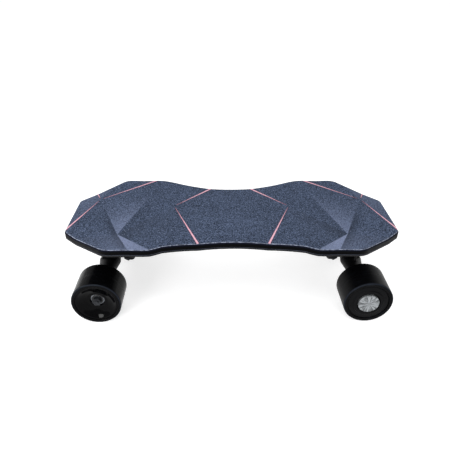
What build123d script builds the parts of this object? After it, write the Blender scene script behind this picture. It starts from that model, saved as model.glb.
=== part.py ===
"""Short four-wheeled electric skateboard: faceted deck, two steering trucks, two free wheels, two hub motors.

Frame: X runs along the board, with the motor end at +X. Y runs across it. Z is up, and the floor is Z = 0.
The origin is on the floor, under the middle of the board. All lengths are in millimetres.
"""
from build123d import *
from math import cos, radians, sin
import os

# ---------------------------------------------------------------- driving dimensions
# wheels and axles
wheel_diameter = 80.0
wheel_width = 54.0
wheel_face_y = 116.0          # outer face of each wheel, from the board's centre line
end_overhang = 53.0           # each axle's distance from the board's end
tread_shoulder = 3.0

# deck outline, seen from above
deck_length = 544.0
deck_width = 231.0
waist_width = 175.0
nose_width = 100.0
slant_length = 76.5           # how far each slanted end edge reaches along the board
side_length = 70.5            # straight side edge of each lobe
nose_radius = 14.0
side_radius = 30.0
waist_radius = 80.0

# deck heights
truck_rise = 53.0             # underside of each truck's base plate, above the axles
side_rise = 5.0               # the lobes' side edges curl up from the waist's standing surface
nose_drop = 4.5               # the nose and tail dip
nose_node_drop = 1.5          # so does the node behind them
lobe_sink = 5.5               # each lobe is hollowed round one low point

# deck layers, from the top down
grip_thickness = 1.2
plate_thickness = 8.4
gasket_thickness = 1.0
flange_thickness = 2.2
grip_margin = 2.4             # bare rim of the deck plate round the grip sheet
stripe_proud = 0.15
stripe_wide = 4.4             # tapered inlay lines: width at the deck's edge
stripe_fine = 1.0             # and at their inner end
stripe_border = 0.9
gasket_width = 9.0

# belly pan
node_inset = 38.5             # the nose node of the facets, from the board's end
lobe_node_inset = 58.5        # the hollow's low point, from the side edge
waist_node_inset = 25.0       # the waist node, inboard of the waist corner
waist_node_y = 23.5
far_line_x = 37.5             # where the middle panel's lines meet the waist's far edge
near_line_x = 56.0            # and its near edge
cell_headroom = 4.4           # between the battery cells and the deck plate
pan_wall = 2.4
pad_half_width = 32.0
pad_end_inset = 20.0          # the pan's truck pads stop this far from the board's ends
pan_corner = 6.0

# trucks
riser_thickness = 6.0
base_thickness = 6.0
base_width = 56.0
base_inner = 68.0             # how far the base plate reaches from the axle, towards the board's middle
base_outer = 24.0             # and towards its end
bolt_pitch_x = 54.0
bolt_pitch_y = 41.3
bolt_radius = 2.5
steer_angle = 30.0            # the steering axis rises towards the board's end
ring_back = 42.0              # centre of the hanger's ring: distance inboard of the axle
ring_up = 26.0                # and height above it
pivot_reach = 44.0            # from the ring's centre to the pivot, along the steering axis
pivot_radius = 5.5
kingpin_radius = 4.75
ring_radius = 15.0
ring_thickness = 7.0
ring_hole_radius = 8.0
bushing_radius = 11.5
top_bushing = 12.0
low_bushing = 10.0
hanger_half_depth = 19.0      # of the hanger's middle, along X
hanger_half_height = 13.0
barrel_radius = 11.0
barrel_end_y = 58.0

# running parts
axle_radius = 4.0
bearing_radius = 11.0
bearing_width = 7.0
stub_radius = 6.0
motor_bearing_radius = 14.0
motor_bearing_width = 8.0
can_radius = 33.4
cap_radius = 17.0
cap_proud = 3.0

# inside the belly pan
cell_radius = 9.2
cell_length = 65.0
cell_rows = 4                 # across the board
cell_columns = 3              # along it

cell_gap = 0.6                 # between the battery's rows
column_gap = 1.4               # and between its columns
cell_lift = 0.1
tray_wall = 1.6
tray_floor = 0.6
tray_side_gap = 4.0
tray_end_gap = 1.0
board_length = 66.2
board_gap = 6.0                # between the battery tray and the controller
gland_gap = 9.0                # and from the controller to the leads' glands
gland_inset = 9.0

# clearances
running_fit = 0.05            # round a turning shaft
slip_fit = 0.06               # between pieces that are assembled once
side_gap = 0.3                # beside a turning or sliding face

# ---------------------------------------------------------------- derived places
wheel_radius = wheel_diameter / 2
axle_z = wheel_radius
axle_x = deck_length / 2 - end_overhang
wheel_inner_y = wheel_face_y - wheel_width
half_length, half_width = deck_length / 2, deck_width / 2
half_waist, half_nose = waist_width / 2, nose_width / 2
side_corner_x = half_length - slant_length
waist_corner_x = side_corner_x - side_length
pad_end_x = half_length - pad_end_inset
plate_drop = grip_thickness
gasket_drop = plate_drop + plate_thickness
flange_drop = gasket_drop + gasket_thickness
edge_thickness = flange_drop + flange_thickness
cell_pitch = 2 * cell_radius + cell_gap
column_pitch = cell_length + column_gap
pack_length = cell_columns * column_pitch
pack_width = cell_rows * cell_pitch
tray_length = pack_length + 2 * tray_wall
tray_width = pack_width + 2 * tray_wall
belly_half_width = tray_width / 2 + tray_side_gap + pan_wall
belly_half_length = (
    pan_wall + tray_end_gap + tray_length + board_gap + board_length + gland_gap + gland_inset
) / 2
# the trucks carry the pan, and the pan's depth sets the standing surface
base_bottom_z = axle_z + truck_rise
riser_bottom_z = base_bottom_z + base_thickness
pan_bottom_z = riser_bottom_z + riser_thickness
pan_floor_z = pan_bottom_z + pan_wall
pan_depth = pan_wall + tray_floor + cell_lift + 2 * cell_radius + cell_headroom + gasket_drop
deck_z = pan_bottom_z + pan_depth
truck_x = axle_x - (base_inner - base_outer) / 2      # middle of the base plate
base_length = base_inner + base_outer

os.makedirs("parts", exist_ok=True)


def save(name, piece):
    """Write one finished piece under its own name."""
    piece.label = name
    export_step(piece, f"parts/{name}.step")


def save_ends(name, piece):
    """A piece made at the motor end has a twin at the front, turned round to face it."""
    save(name + "_rear", piece)
    save(name + "_front", mirror(piece, about=Plane.YZ))


def save_both_ends(name, piece):
    """The piece and its twin at the other end of the board, as one group."""
    with BuildPart() as pair:
        add(piece)
        mirror(piece, about=Plane.YZ)
    save(name, pair.part)


def save_sides(name, piece):
    """A piece made on the right-hand side has a mirrored twin on the left."""
    save(name + "_right", piece)
    save(name + "_left", mirror(piece, about=Plane.XZ))


# ---------------------------------------------------------------- deck surface
# Heights here are measured from the standing surface at the waist.
nose_node = (half_length - node_inset, half_nose, -nose_node_drop)
lobe_node = (side_corner_x - 10.5, lobe_node_inset - half_width, -lobe_sink)
waist_node = (waist_corner_x - waist_node_inset, waist_node_y, 0.0)
near_nose = (half_length, -half_nose, -nose_drop)
far_nose = (half_length, half_nose, -nose_drop)
chamfer_share = 0.36          # the bend in the far slanted edge, from the nose to the side corner
far_bend = (
    half_length + chamfer_share * (side_corner_x - half_length),
    half_nose + chamfer_share * (half_width - half_nose),
    -nose_node_drop - 1.0,
)
far_side = (side_corner_x, half_width, side_rise)
far_waist = (waist_corner_x, half_width, side_rise)
near_side = (side_corner_x, -half_width, side_rise)
near_bend = (waist_corner_x + 38.0, -half_width, side_rise + 0.8)
near_waist = (waist_corner_x, -half_width, side_rise)
far_stripe_end = (waist_corner_x + 12.0, half_width, side_rise)
far_hexagon = (far_line_x, half_waist, 0.0)
near_hexagon = (near_line_x, -half_waist - 1.0, 0.0)


def beyond(node, edge, share=0.25):
    """The same crease carried on past the deck's edge, so that the outline can trim it."""
    return tuple(e + share * (e - n) for n, e in zip(node, edge))


def mirrored(point):
    """The matching point on the front half of the board."""
    return (-point[0], point[1], point[2])


outer_near_nose = beyond(nose_node, near_nose)
outer_far_nose = beyond(nose_node, far_nose)
outer_far_bend = beyond(nose_node, far_bend)
outer_far_side = beyond(nose_node, far_side)
outer_far_waist = beyond(lobe_node, far_waist)
outer_near_side = beyond(lobe_node, near_side)
outer_near_bend = beyond(lobe_node, near_bend)
outer_near_waist = beyond(lobe_node, near_waist)
outer_far_hexagon = beyond(waist_node, far_hexagon)
outer_near_hexagon = beyond(waist_node, near_hexagon)

half_facets = [
    (outer_near_nose, outer_far_nose, nose_node),
    (outer_far_nose, outer_far_bend, nose_node),
    (outer_far_bend, outer_far_side, nose_node),
    (outer_far_side, outer_far_waist, nose_node),
    (nose_node, outer_far_waist, lobe_node),
    (outer_near_nose, nose_node, lobe_node),
    (outer_near_side, outer_near_nose, lobe_node),
    (outer_near_bend, outer_near_side, lobe_node),
    (outer_near_waist, outer_near_bend, lobe_node),
    (lobe_node, outer_far_waist, waist_node),
    (outer_near_waist, lobe_node, waist_node),
    (outer_near_hexagon, outer_near_waist, waist_node),
    (outer_far_waist, outer_far_hexagon, waist_node),
]
middle_facet = (
    outer_far_hexagon, waist_node, outer_near_hexagon,
    mirrored(outer_near_hexagon), mirrored(waist_node), mirrored(outer_far_hexagon),
)
facets = half_facets + [tuple(mirrored(p) for p in facet) for facet in half_facets] + [middle_facet]


def facet_height(x, y):
    """Height of the standing surface over a point, found on the facet that the point lies in."""
    for facet in facets:
        (x0, y0, z0), (x1, y1, z1), (x2, y2, z2) = facet[:3]
        area = (x1 - x0) * (y2 - y0) - (x2 - x0) * (y1 - y0)
        s = ((x - x0) * (y2 - y0) - (x2 - x0) * (y - y0)) / area
        t = ((x1 - x0) * (y - y0) - (x - x0) * (y1 - y0)) / area
        if s >= 0 and t >= 0 and s + t <= 1:
            return z0 + s * (z1 - z0) + t * (z2 - z0)
    return 0.0


def facet_layer(drop, thickness):
    """A sheet that follows the facets, its top face a given drop below the standing surface."""
    with BuildPart() as layer:
        for facet in facets:
            corners = [(x, y, deck_z + z - drop) for x, y, z in facet]
            extrude(Face(Wire.make_polygon(corners)), amount=thickness, dir=(0, 0, -1))
    return layer.part


def deck_outline(inset=0.0):
    """The hourglass plan of the deck: two lobes with slanted ends, joined by a waist."""
    with BuildSketch() as outline:
        with BuildLine():
            ThreePointArc((-waist_corner_x, half_width), (0, half_waist), (waist_corner_x, half_width))
            Polyline(
                (waist_corner_x, half_width), (side_corner_x, half_width), (half_length, half_nose),
                (half_length, -half_nose), (side_corner_x, -half_width), (waist_corner_x, -half_width),
            )
            ThreePointArc((waist_corner_x, -half_width), (0, -half_waist), (-waist_corner_x, -half_width))
            Polyline(
                (-waist_corner_x, -half_width), (-side_corner_x, -half_width), (-half_length, -half_nose),
                (-half_length, half_nose), (-side_corner_x, half_width), (-waist_corner_x, half_width),
            )
        make_face()
        for corner_x, radius in (
            (half_length, nose_radius), (side_corner_x, side_radius), (waist_corner_x, waist_radius),
        ):
            fillet([v for v in outline.vertices() if abs(abs(v.X) - corner_x) < 0.5], radius)
        if inset:
            offset(amount=-inset, mode=Mode.REPLACE)
    return outline.sketch


def deck_prism(inset=0.0):
    """The outline carried up through every layer of the deck."""
    with BuildPart() as prism:
        with BuildSketch():
            add(deck_outline(inset))
        extrude(amount=deck_z + 4 * side_rise)
    return prism.part


def stripe_plan(margin):
    """The tapered inlay lines in plan, from a node of the facets out past the deck's edge."""
    lines = [(nose_node, near_nose), (nose_node, far_bend), (nose_node, far_stripe_end),
             (waist_node, far_hexagon), (waist_node, near_hexagon)]
    start_gap = 5.0
    run_out = 12.0
    with BuildSketch() as plan:
        for node, edge in lines:
            along = Vector(edge[0] - node[0], edge[1] - node[1])
            reach = along.length
            along = along.normalized()
            across = Vector(-along.Y, along.X)
            start = Vector(node[0], node[1]) + along * (start_gap - margin)
            end = Vector(node[0], node[1]) + along * (reach + run_out)
            fine, wide = stripe_fine / 2 + margin, stripe_wide / 2 + margin
            with BuildLine():
                Polyline(start + across * fine, end + across * wide, end - across * wide,
                         start - across * fine, close=True)
            make_face()
        mirror(about=Plane.YZ)
    return plan.sketch


def stripe_prism(margin):
    """The inlay lines carried up through the grip sheet."""
    with BuildPart() as prism:
        with BuildSketch(Plane.XY.offset(pan_bottom_z)):
            add(stripe_plan(margin))
        extrude(amount=deck_z)
    return prism.part


grip_prism = deck_prism(grip_margin)

with BuildPart() as grip_sheet:
    add(facet_layer(0, grip_thickness))
    add(grip_prism, mode=Mode.INTERSECT)
    add(stripe_prism(0), mode=Mode.SUBTRACT)
save("grip_sheet", grip_sheet.part)

with BuildPart() as stripe_cores:
    add(facet_layer(-stripe_proud, grip_thickness + stripe_proud))
    add(grip_prism, mode=Mode.INTERSECT)
    add(stripe_prism(-stripe_border / 2), mode=Mode.INTERSECT)
save("stripe_cores", stripe_cores.part)

with BuildPart() as stripe_borders:
    add(facet_layer(-stripe_proud, grip_thickness + stripe_proud))
    add(grip_prism, mode=Mode.INTERSECT)
    add(stripe_prism(0), mode=Mode.INTERSECT)
    add(stripe_prism(-stripe_border / 2), mode=Mode.SUBTRACT)
save("stripe_borders", stripe_borders.part)


# ---------------------------------------------------------------- deck plate, its seam and the belly pan
screw_radius = 2.0
screw_head_radius = 3.6
screw_head = 2.0
boss_radius = 5.5
boss_drop = 1.8
insert_radius = 4.0
screw_places = [
    (60.0, half_waist - 21.5),
    (waist_corner_x + 3.0, half_width - 31.5),
    (side_corner_x - 5.5, half_width - 23.5),
    (half_length - 16.0, half_nose - 24.0),
]


def around(places):
    """Each place, with its mirror images in the other three quarters of the board."""
    return [(sx * x, sy * y) for x, y in places for sx in (-1, 1) for sy in (-1, 1)]


def truck_holes(radius, bottom, top):
    """The truck bolts' holes, both ends of the board, as one tool body."""
    with BuildPart() as holes:
        for end in (-1, 1):
            with BuildSketch(Plane((end * truck_x, 0, bottom))):
                with GridLocations(bolt_pitch_x, bolt_pitch_y, 2, 2):
                    Circle(radius)
            extrude(amount=top - bottom)
    return holes.part


def at_screws(radius, bottom_drop, top_drop):
    """A cylinder at each pan screw, its ends set by drops below the standing surface just there."""
    with BuildPart() as posts:
        for x, y in around(screw_places):
            height = deck_z + facet_height(x, y)
            with BuildSketch(Plane((x, y, height - bottom_drop))):
                Circle(radius)
            extrude(amount=bottom_drop - top_drop)
    return posts.part


screw_depth = 6.0             # reach of each pan screw into the deck plate
insert_cover = 1.0             # plate left over each insert
bolt_xy = [(truck_x + sx * bolt_pitch_x / 2, sy * bolt_pitch_y / 2) for sx in (-1, 1) for sy in (-1, 1)]
bolt_heights = [facet_height(x, y) for x, y in bolt_xy]
bolt_top_z = deck_z + min(bolt_heights) - plate_drop - insert_cover
insert_bottom_z = deck_z + max(bolt_heights) - gasket_drop
insert_depth = bolt_top_z - insert_bottom_z

with BuildPart() as deck_plate:
    add(facet_layer(plate_drop, plate_thickness))
    add(deck_prism(), mode=Mode.INTERSECT)
    add(at_screws(screw_radius + slip_fit, flange_drop, gasket_drop - screw_depth - 1), mode=Mode.SUBTRACT)
    add(truck_holes(insert_radius + slip_fit, insert_bottom_z, bolt_top_z), mode=Mode.SUBTRACT)
    add(truck_holes(bolt_radius + 0.25, pan_bottom_z, insert_bottom_z), mode=Mode.SUBTRACT)
save("deck_plate", deck_plate.part)

with BuildPart() as seam_gasket:
    add(facet_layer(gasket_drop, gasket_thickness))
    add(deck_prism(side_gap), mode=Mode.INTERSECT)
    add(deck_prism(side_gap + gasket_width), mode=Mode.SUBTRACT)
save("seam_gasket", seam_gasket.part)

with BuildPart() as threaded_inserts:
    for end in (-1, 1):
        with BuildSketch(Plane((end * truck_x, 0, insert_bottom_z))):
            with GridLocations(bolt_pitch_x, bolt_pitch_y, 2, 2):
                Circle(insert_radius)
                Circle(bolt_radius + slip_fit, mode=Mode.SUBTRACT)
        extrude(amount=insert_depth)
save("threaded_inserts", threaded_inserts.part)

# The battery fills the front and middle of the pan, the controller its rear end.
cavity_half_length = belly_half_length - pan_wall
cavity_half_width = belly_half_width - pan_wall
tray_front_x = -cavity_half_length + tray_end_gap
tray_x = tray_front_x + tray_length / 2
cell_axis_z = pan_floor_z + tray_floor + cell_lift + cell_radius
board_front_x = tray_front_x + tray_length + board_gap
gland_x = belly_half_length - gland_inset
gland_y = 19.0
board_x = board_front_x + board_length / 2
board_width = 48.0
board_y = -cavity_half_width + board_width / 2 + 2.0
heat_margin = 4.0
socket_x = board_x + board_length / 4
switch_x = board_x - board_length / 4
side_port_z = pan_floor_z + 9.7
switch_hole_radius = 7.0
socket_hole_radius = 6.0
lead_radius = 2.4
side_wall_plane = Plane(origin=(0, belly_half_width, side_port_z), x_dir=(1, 0, 0), z_dir=(0, -1, 0))

with BuildPart() as belly_pan:
    with BuildSketch(Plane.XY.offset(pan_bottom_z)) as pan_plan:
        Rectangle(2 * belly_half_length, 2 * belly_half_width)
        Rectangle(2 * pad_end_x, 2 * pad_half_width)
        fillet(pan_plan.vertices(), pan_corner)
    extrude(amount=pan_depth)
    chamfer(belly_pan.faces().sort_by(Axis.Z)[0].edges(), 3)
    add(facet_layer(flange_drop, 2 * pan_depth), mode=Mode.INTERSECT)
    with BuildPart(mode=Mode.PRIVATE) as flange:
        add(facet_layer(flange_drop, flange_thickness))
        add(deck_prism(), mode=Mode.INTERSECT)
    add(flange.part)
    add(at_screws(boss_radius, edge_thickness + boss_drop, edge_thickness - 1))
    with BuildSketch(Plane.XY.offset(pan_floor_z)) as cavity_plan:
        Rectangle(2 * cavity_half_length, 2 * cavity_half_width)
        fillet(cavity_plan.vertices(), 5)
    extrude(amount=pan_depth, mode=Mode.SUBTRACT)
    with BuildSketch(Plane.XY.offset(pan_bottom_z)):
        with Locations((board_x, board_y)):
            Rectangle(board_length - 2 * heat_margin, board_width - 2 * heat_margin)
    extrude(amount=pan_wall, mode=Mode.SUBTRACT)
    with BuildSketch(side_wall_plane):
        with Locations((switch_x, 0)):
            Circle(switch_hole_radius)
        with Locations((socket_x, 0)):
            Circle(socket_hole_radius)
    extrude(amount=pan_wall + 1, mode=Mode.SUBTRACT)
    with BuildSketch(Plane.XY.offset(pan_bottom_z)):
        with Locations((gland_x, gland_y), (gland_x, -gland_y)):
            Circle(lead_radius + 1.6)
    extrude(amount=pan_wall, mode=Mode.SUBTRACT)
    add(at_screws(screw_radius + slip_fit, edge_thickness + boss_drop + 1, 0), mode=Mode.SUBTRACT)
    add(truck_holes(bolt_radius + 0.25, pan_bottom_z, deck_z), mode=Mode.SUBTRACT)
save("belly_pan", belly_pan.part)

with BuildPart() as pan_screws:
    add(at_screws(screw_radius, edge_thickness + boss_drop, gasket_drop - screw_depth))
    add(at_screws(screw_head_radius, edge_thickness + boss_drop + screw_head, edge_thickness + boss_drop))
    for x, y in around(screw_places):
        head_z = deck_z + facet_height(x, y) - edge_thickness - boss_drop - screw_head
        with BuildSketch(Plane((x, y, head_z))):
            RegularPolygon(1.5, 6)
        extrude(amount=1.2, mode=Mode.SUBTRACT)
save("pan_screws", pan_screws.part)

with BuildPart() as heat_plate:
    with BuildSketch(Plane.XY.offset(pan_bottom_z)):
        with Locations((board_x, board_y)):
            Rectangle(board_length - 2 * heat_margin - 0.4, board_width - 2 * heat_margin - 0.4)
    extrude(amount=pan_wall)
    with BuildSketch(Plane.XY.offset(pan_floor_z)):
        with Locations((board_x, board_y)):
            Rectangle(board_length, board_width)
    extrude(amount=1.5)
    groove_count = 7
    with BuildSketch(Plane.XY.offset(pan_bottom_z)):
        with Locations((board_x, board_y)):
            with GridLocations(0, 5.0, 1, groove_count):
                Rectangle(board_length - 4 * heat_margin, 2.2)
    extrude(amount=1.4, mode=Mode.SUBTRACT)
save("heat_plate", heat_plate.part)

tray_height = 9.0
with BuildPart() as cell_tray:
    with BuildSketch(Plane.XY.offset(pan_floor_z)):
        with Locations((tray_x, 0)):
            Rectangle(tray_length, tray_width)
    extrude(amount=tray_height)
    with Locations((tray_x, 0, cell_axis_z)):
        with GridLocations(column_pitch, cell_pitch, cell_columns, cell_rows):
            Cylinder(cell_radius + 0.08, column_pitch - 0.8, rotation=(0, 90, 0), mode=Mode.SUBTRACT)
save("cell_tray", cell_tray.part)

with BuildPart() as battery_cells:
    with Locations((tray_x, 0, cell_axis_z)):
        with GridLocations(column_pitch, cell_pitch, cell_columns, cell_rows):
            Cylinder(cell_radius, cell_length, rotation=(0, 90, 0))
save("battery_cells", battery_cells.part)

link_z = cell_axis_z + cell_radius + 0.05
with BuildPart() as cell_links:
    for column in range(cell_columns):
        link_x = tray_x + (column - (cell_columns - 1) / 2) * column_pitch
        with BuildSketch(Plane((link_x, 0, link_z))):
            Rectangle(8, pack_width - 2)
            with GridLocations(0, cell_pitch, 1, cell_rows):
                Rectangle(cell_length - 6, 5)
        extrude(amount=0.4)
save("cell_links", cell_links.part)

board_z = pan_floor_z + 4.0
with BuildPart() as controller_board:
    with BuildSketch(Plane.XY.offset(board_z)):
        with Locations((board_x, board_y)):
            Rectangle(board_length - 2, board_width - 2)
    extrude(amount=1.6)
save("controller_board", controller_board.part)

with BuildPart() as controller_parts:
    with BuildSketch(Plane.XY.offset(pan_floor_z + 1.5)):
        with Locations((board_x, board_y)):
            with GridLocations(11, 26, 4, 2):
                Rectangle(8, 10)
    extrude(amount=board_z - pan_floor_z - 1.5)
    with BuildSketch(Plane.XY.offset(board_z + 1.6)):
        with Locations((board_x - 14, board_y + 12)):
            with GridLocations(12, 0, 2, 1):
                Circle(5)
        with Locations((board_x + 14, board_y - 6)):
            Rectangle(16, 22)
    extrude(amount=11.0)
save("controller_parts", controller_parts.part)

# ---------------------------------------------------------------- power switch, charge port, lead glands
button_radius = 5.2
button_travel = 1.5
button_stand = 2.4            # the button's crown stands this far out of the bezel's face
bezel_lip = 1.4
side_plane_out = Plane(origin=(0, belly_half_width, side_port_z), x_dir=(-1, 0, 0), z_dir=(0, 1, 0))

with BuildPart() as switch_bezel:
    with BuildSketch(side_plane_out):
        with Locations((-switch_x, 0)):
            Circle(switch_hole_radius + 2)
            Circle(button_radius + 0.3, mode=Mode.SUBTRACT)
    extrude(amount=bezel_lip)
    with BuildSketch(side_plane_out):
        with Locations((-switch_x, 0)):
            Circle(switch_hole_radius - slip_fit)
            Circle(button_radius + 0.3, mode=Mode.SUBTRACT)
    extrude(amount=-9.0)
    with BuildSketch(side_plane_out.offset(-9.0)):
        with Locations((-switch_x, 0)):
            Circle(switch_hole_radius - slip_fit)
    extrude(amount=-3.0)
save("switch_bezel", switch_bezel.part)

with BuildPart() as power_button:
    with BuildSketch(side_plane_out.offset(bezel_lip + button_stand)):
        with Locations((-switch_x, 0)):
            Circle(button_radius)
    extrude(amount=-(bezel_lip + button_stand + 9.0 - button_travel - 0.3))
    fillet(power_button.faces().sort_by(Axis.Y)[-1].edges(), 0.8)
save("power_button", power_button.part)

with BuildPart() as charge_socket:
    with BuildSketch(side_plane_out):
        with Locations((-socket_x, 0)):
            Circle(socket_hole_radius + 1.6)
    extrude(amount=1.2)
    with BuildSketch(side_plane_out):
        with Locations((-socket_x, 0)):
            Circle(socket_hole_radius - slip_fit)
    extrude(amount=-12.0)
    with BuildSketch(side_plane_out.offset(1.2)):
        with Locations((-socket_x, 0)):
            Circle(2.9)
            Circle(1.05, mode=Mode.SUBTRACT)
    extrude(amount=-9.5, mode=Mode.SUBTRACT)
save("charge_socket", charge_socket.part)

cap_disc_radius = 7.6
cap_hinge_x = socket_x + cap_disc_radius + 2.4
cap_face_y = belly_half_width + 1.2 + 0.15
cap_thickness = 2.0
hinge_y = cap_face_y + cap_thickness / 2
hinge_length = 5.0
knuckle_radius = 1.9
hinge_pin_radius = 0.9
ear_height = 2.0

with BuildPart() as charge_cap:
    with BuildSketch(Plane(origin=(socket_x, cap_face_y, side_port_z), x_dir=(-1, 0, 0), z_dir=(0, 1, 0))):
        Circle(cap_disc_radius)
        with Locations((-cap_disc_radius, 0)):
            Rectangle(3.0, hinge_length)
    extrude(amount=cap_thickness)
    with Locations((cap_hinge_x, hinge_y, side_port_z)):
        Cylinder(knuckle_radius, hinge_length)
        Cylinder(hinge_pin_radius + running_fit, hinge_length, mode=Mode.SUBTRACT)
save("charge_cap", charge_cap.part)

with BuildPart() as cap_hinge:
    for side in (-1, 1):
        ear_z = side_port_z + side * (hinge_length / 2 + side_gap + ear_height / 2)
        ear_depth = hinge_y + 1.6 - belly_half_width
        with Locations((cap_hinge_x, belly_half_width + ear_depth / 2, ear_z)):
            Box(3.6, ear_depth, ear_height)
    with Locations((cap_hinge_x, hinge_y, side_port_z)):
        Cylinder(hinge_pin_radius, hinge_length + 2 * side_gap + 1.0)
save("cap_hinge", cap_hinge.part)

with BuildPart() as lead_glands:
    for side in (-1, 1):
        with BuildSketch(Plane((gland_x, side * gland_y, pan_bottom_z))):
            Circle(lead_radius + 1.6 - slip_fit)
        extrude(amount=pan_wall)
        with BuildSketch(Plane((gland_x, side * gland_y, pan_bottom_z))):
            RegularPolygon(5.6, 6)
        extrude(amount=-3.0)
        with BuildSketch(Plane((gland_x, side * gland_y, pan_bottom_z - 3.0))):
            Circle(4.2)
        extrude(amount=-4.0, taper=12)
        with BuildSketch(Plane((gland_x, side * gland_y, pan_bottom_z - 7.0))):
            Circle(lead_radius + running_fit)
        extrude(amount=7.0 + pan_wall, mode=Mode.SUBTRACT)
save("lead_glands", lead_glands.part)

# ---------------------------------------------------------------- trucks, made at the motor end
steer_cos, steer_sin = cos(radians(steer_angle)), sin(radians(steer_angle))
ring_centre = Vector(axle_x - ring_back, 0, axle_z + ring_up)
steer_dir = Vector(steer_cos, 0, steer_sin)            # rises towards the end of the board
king_dir = Vector(steer_sin, 0, -steer_cos)            # down the kingpin, towards its nut
pivot_centre = ring_centre + steer_dir * pivot_reach


def king_plane(along):
    """A plane square to the kingpin, a given way down it from the ring's centre."""
    return Plane(origin=ring_centre + king_dir * along, x_dir=steer_dir, z_dir=king_dir)


def steer_plane(along):
    """A plane square to the steering axis, a given way up it from the pivot's centre."""
    return Plane(origin=pivot_centre + steer_dir * along, x_dir=(0, 1, 0), z_dir=steer_dir)


def side_plane(y=0.0):
    """The upright plane along the board, with its origin at the rear axle's height."""
    return Plane(origin=(axle_x, y, axle_z), x_dir=(1, 0, 0), z_dir=(0, -1, 0))


washer_thickness = 1.5
nut_height = 7.0
nut_radius = 7.8
half_ring = ring_thickness / 2
seat = -(half_ring + top_bushing + washer_thickness)
low_washer = half_ring + low_bushing
nut_start = low_washer + washer_thickness
kingpin_head = -31.0
kingpin_head_height = 5.0
king_boss_radius = 13.0
pivot_boss_radius = 11.5
cup_radius = 8.0
cup_mouth = -5.0
rib_bottom = base_bottom_z - axle_z - 1.6

with BuildPart() as riser_pad:
    with BuildSketch(Plane((truck_x, 0, riser_bottom_z))):
        RectangleRounded(base_length, base_width, 8)
        with GridLocations(bolt_pitch_x, bolt_pitch_y, 2, 2):
            Circle(bolt_radius + 0.25, mode=Mode.SUBTRACT)
    extrude(amount=riser_thickness)
save_both_ends("riser_pads", riser_pad.part)

with BuildPart() as base_plate:
    with BuildSketch(Plane((truck_x, 0, base_bottom_z))):
        RectangleRounded(base_length, base_width, 8)
    extrude(amount=base_thickness)
    with BuildSketch(king_plane(seat)):
        Circle(king_boss_radius)
    extrude(amount=-30)
    with BuildSketch(steer_plane(cup_mouth)):
        Circle(pivot_boss_radius)
    extrude(amount=24)
    with BuildSketch(side_plane()) as rib:
        with BuildLine():
            Polyline((-base_inner + 14, rib_bottom), (-6, rib_bottom), (-6, base_bottom_z - axle_z + 1),
                     (-base_inner + 14, base_bottom_z - axle_z + 1), close=True)
        make_face()
    extrude(amount=4, both=True)
    split(bisect_by=Plane.XY.offset(riser_bottom_z), keep=Keep.BOTTOM)
    with BuildSketch(Plane((truck_x, 0, base_bottom_z - 20))):
        Rectangle(base_length + 40, base_width + 40)
        Rectangle(base_length, base_width + 40, mode=Mode.SUBTRACT)
    extrude(amount=30, mode=Mode.SUBTRACT)
    with BuildSketch(king_plane(seat)):
        Circle(kingpin_radius + slip_fit)
    extrude(amount=-60, mode=Mode.SUBTRACT)
    with BuildSketch(king_plane(kingpin_head + kingpin_head_height)):
        Circle(8.6)
    extrude(amount=-30, mode=Mode.SUBTRACT)
    with BuildSketch(steer_plane(cup_mouth - 1)):
        Circle(cup_radius + slip_fit)
    extrude(amount=cup_radius + 1 - cup_mouth, mode=Mode.SUBTRACT)
    with BuildSketch(Plane((truck_x, 0, base_bottom_z - 1))):
        with GridLocations(bolt_pitch_x, bolt_pitch_y, 2, 2):
            Circle(bolt_radius + 0.25)
    extrude(amount=base_thickness + 2, mode=Mode.SUBTRACT)
save_ends("base_plate", base_plate.part)

with BuildPart() as pivot_cup:
    with BuildSketch(steer_plane(cup_mouth)):
        Circle(cup_radius)
    extrude(amount=cup_radius - 0.5 - cup_mouth)
    with BuildSketch(steer_plane(cup_mouth)):
        Circle(pivot_radius + slip_fit)
    extrude(amount=-cup_mouth, mode=Mode.SUBTRACT)
    with Locations(pivot_centre):
        Sphere(pivot_radius + slip_fit, mode=Mode.SUBTRACT)
save_both_ends("pivot_cups", pivot_cup.part)

with BuildPart() as kingpin:
    with BuildSketch(king_plane(kingpin_head)):
        RegularPolygon(8.2, 6)
    extrude(amount=kingpin_head_height)
    with BuildSketch(king_plane(kingpin_head)):
        Circle(kingpin_radius)
    extrude(amount=nut_start + nut_height + 1.5 - kingpin_head)
    chamfer(kingpin.faces().sort_by(Axis(ring_centre, king_dir))[-1].edges(), 0.8)
save_both_ends("kingpins", kingpin.part)

with BuildPart() as kingpin_nut:
    with BuildSketch(king_plane(nut_start)):
        RegularPolygon(nut_radius, 6)
        Circle(kingpin_radius + slip_fit, mode=Mode.SUBTRACT)
    extrude(amount=nut_height)
save_both_ends("kingpin_nuts", kingpin_nut.part)

with BuildPart() as cup_washers:
    for start in (seat, low_washer):
        with BuildSketch(king_plane(start)):
            Circle(bushing_radius + 0.8)
            Circle(kingpin_radius + slip_fit, mode=Mode.SUBTRACT)
        extrude(amount=washer_thickness)
save_both_ends("cup_washers", cup_washers.part)


def bushing(start, height, waist_in):
    """A urethane bushing: a barrel whose side is drawn in a little at mid-height."""
    inner = kingpin_radius + slip_fit
    with BuildPart() as made:
        with BuildSketch(Plane(origin=ring_centre, x_dir=steer_dir, z_dir=(0, 1, 0))) as profile:
            with BuildLine():
                Polyline((bushing_radius, start), (inner, start),
                         (inner, (start + height)), (bushing_radius, (start + height)))
                ThreePointArc((bushing_radius, (start + height)),
                              (bushing_radius - waist_in, (start + height / 2)),
                              (bushing_radius, start))
            make_face()
        revolve(axis=Axis(ring_centre, king_dir))
    return made.part


with BuildPart() as bushings:
    add(bushing(-half_ring - top_bushing, top_bushing, 1.2))
    add(bushing(half_ring, low_bushing, 1.0))
save_ends("bushings", bushings.part)

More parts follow.
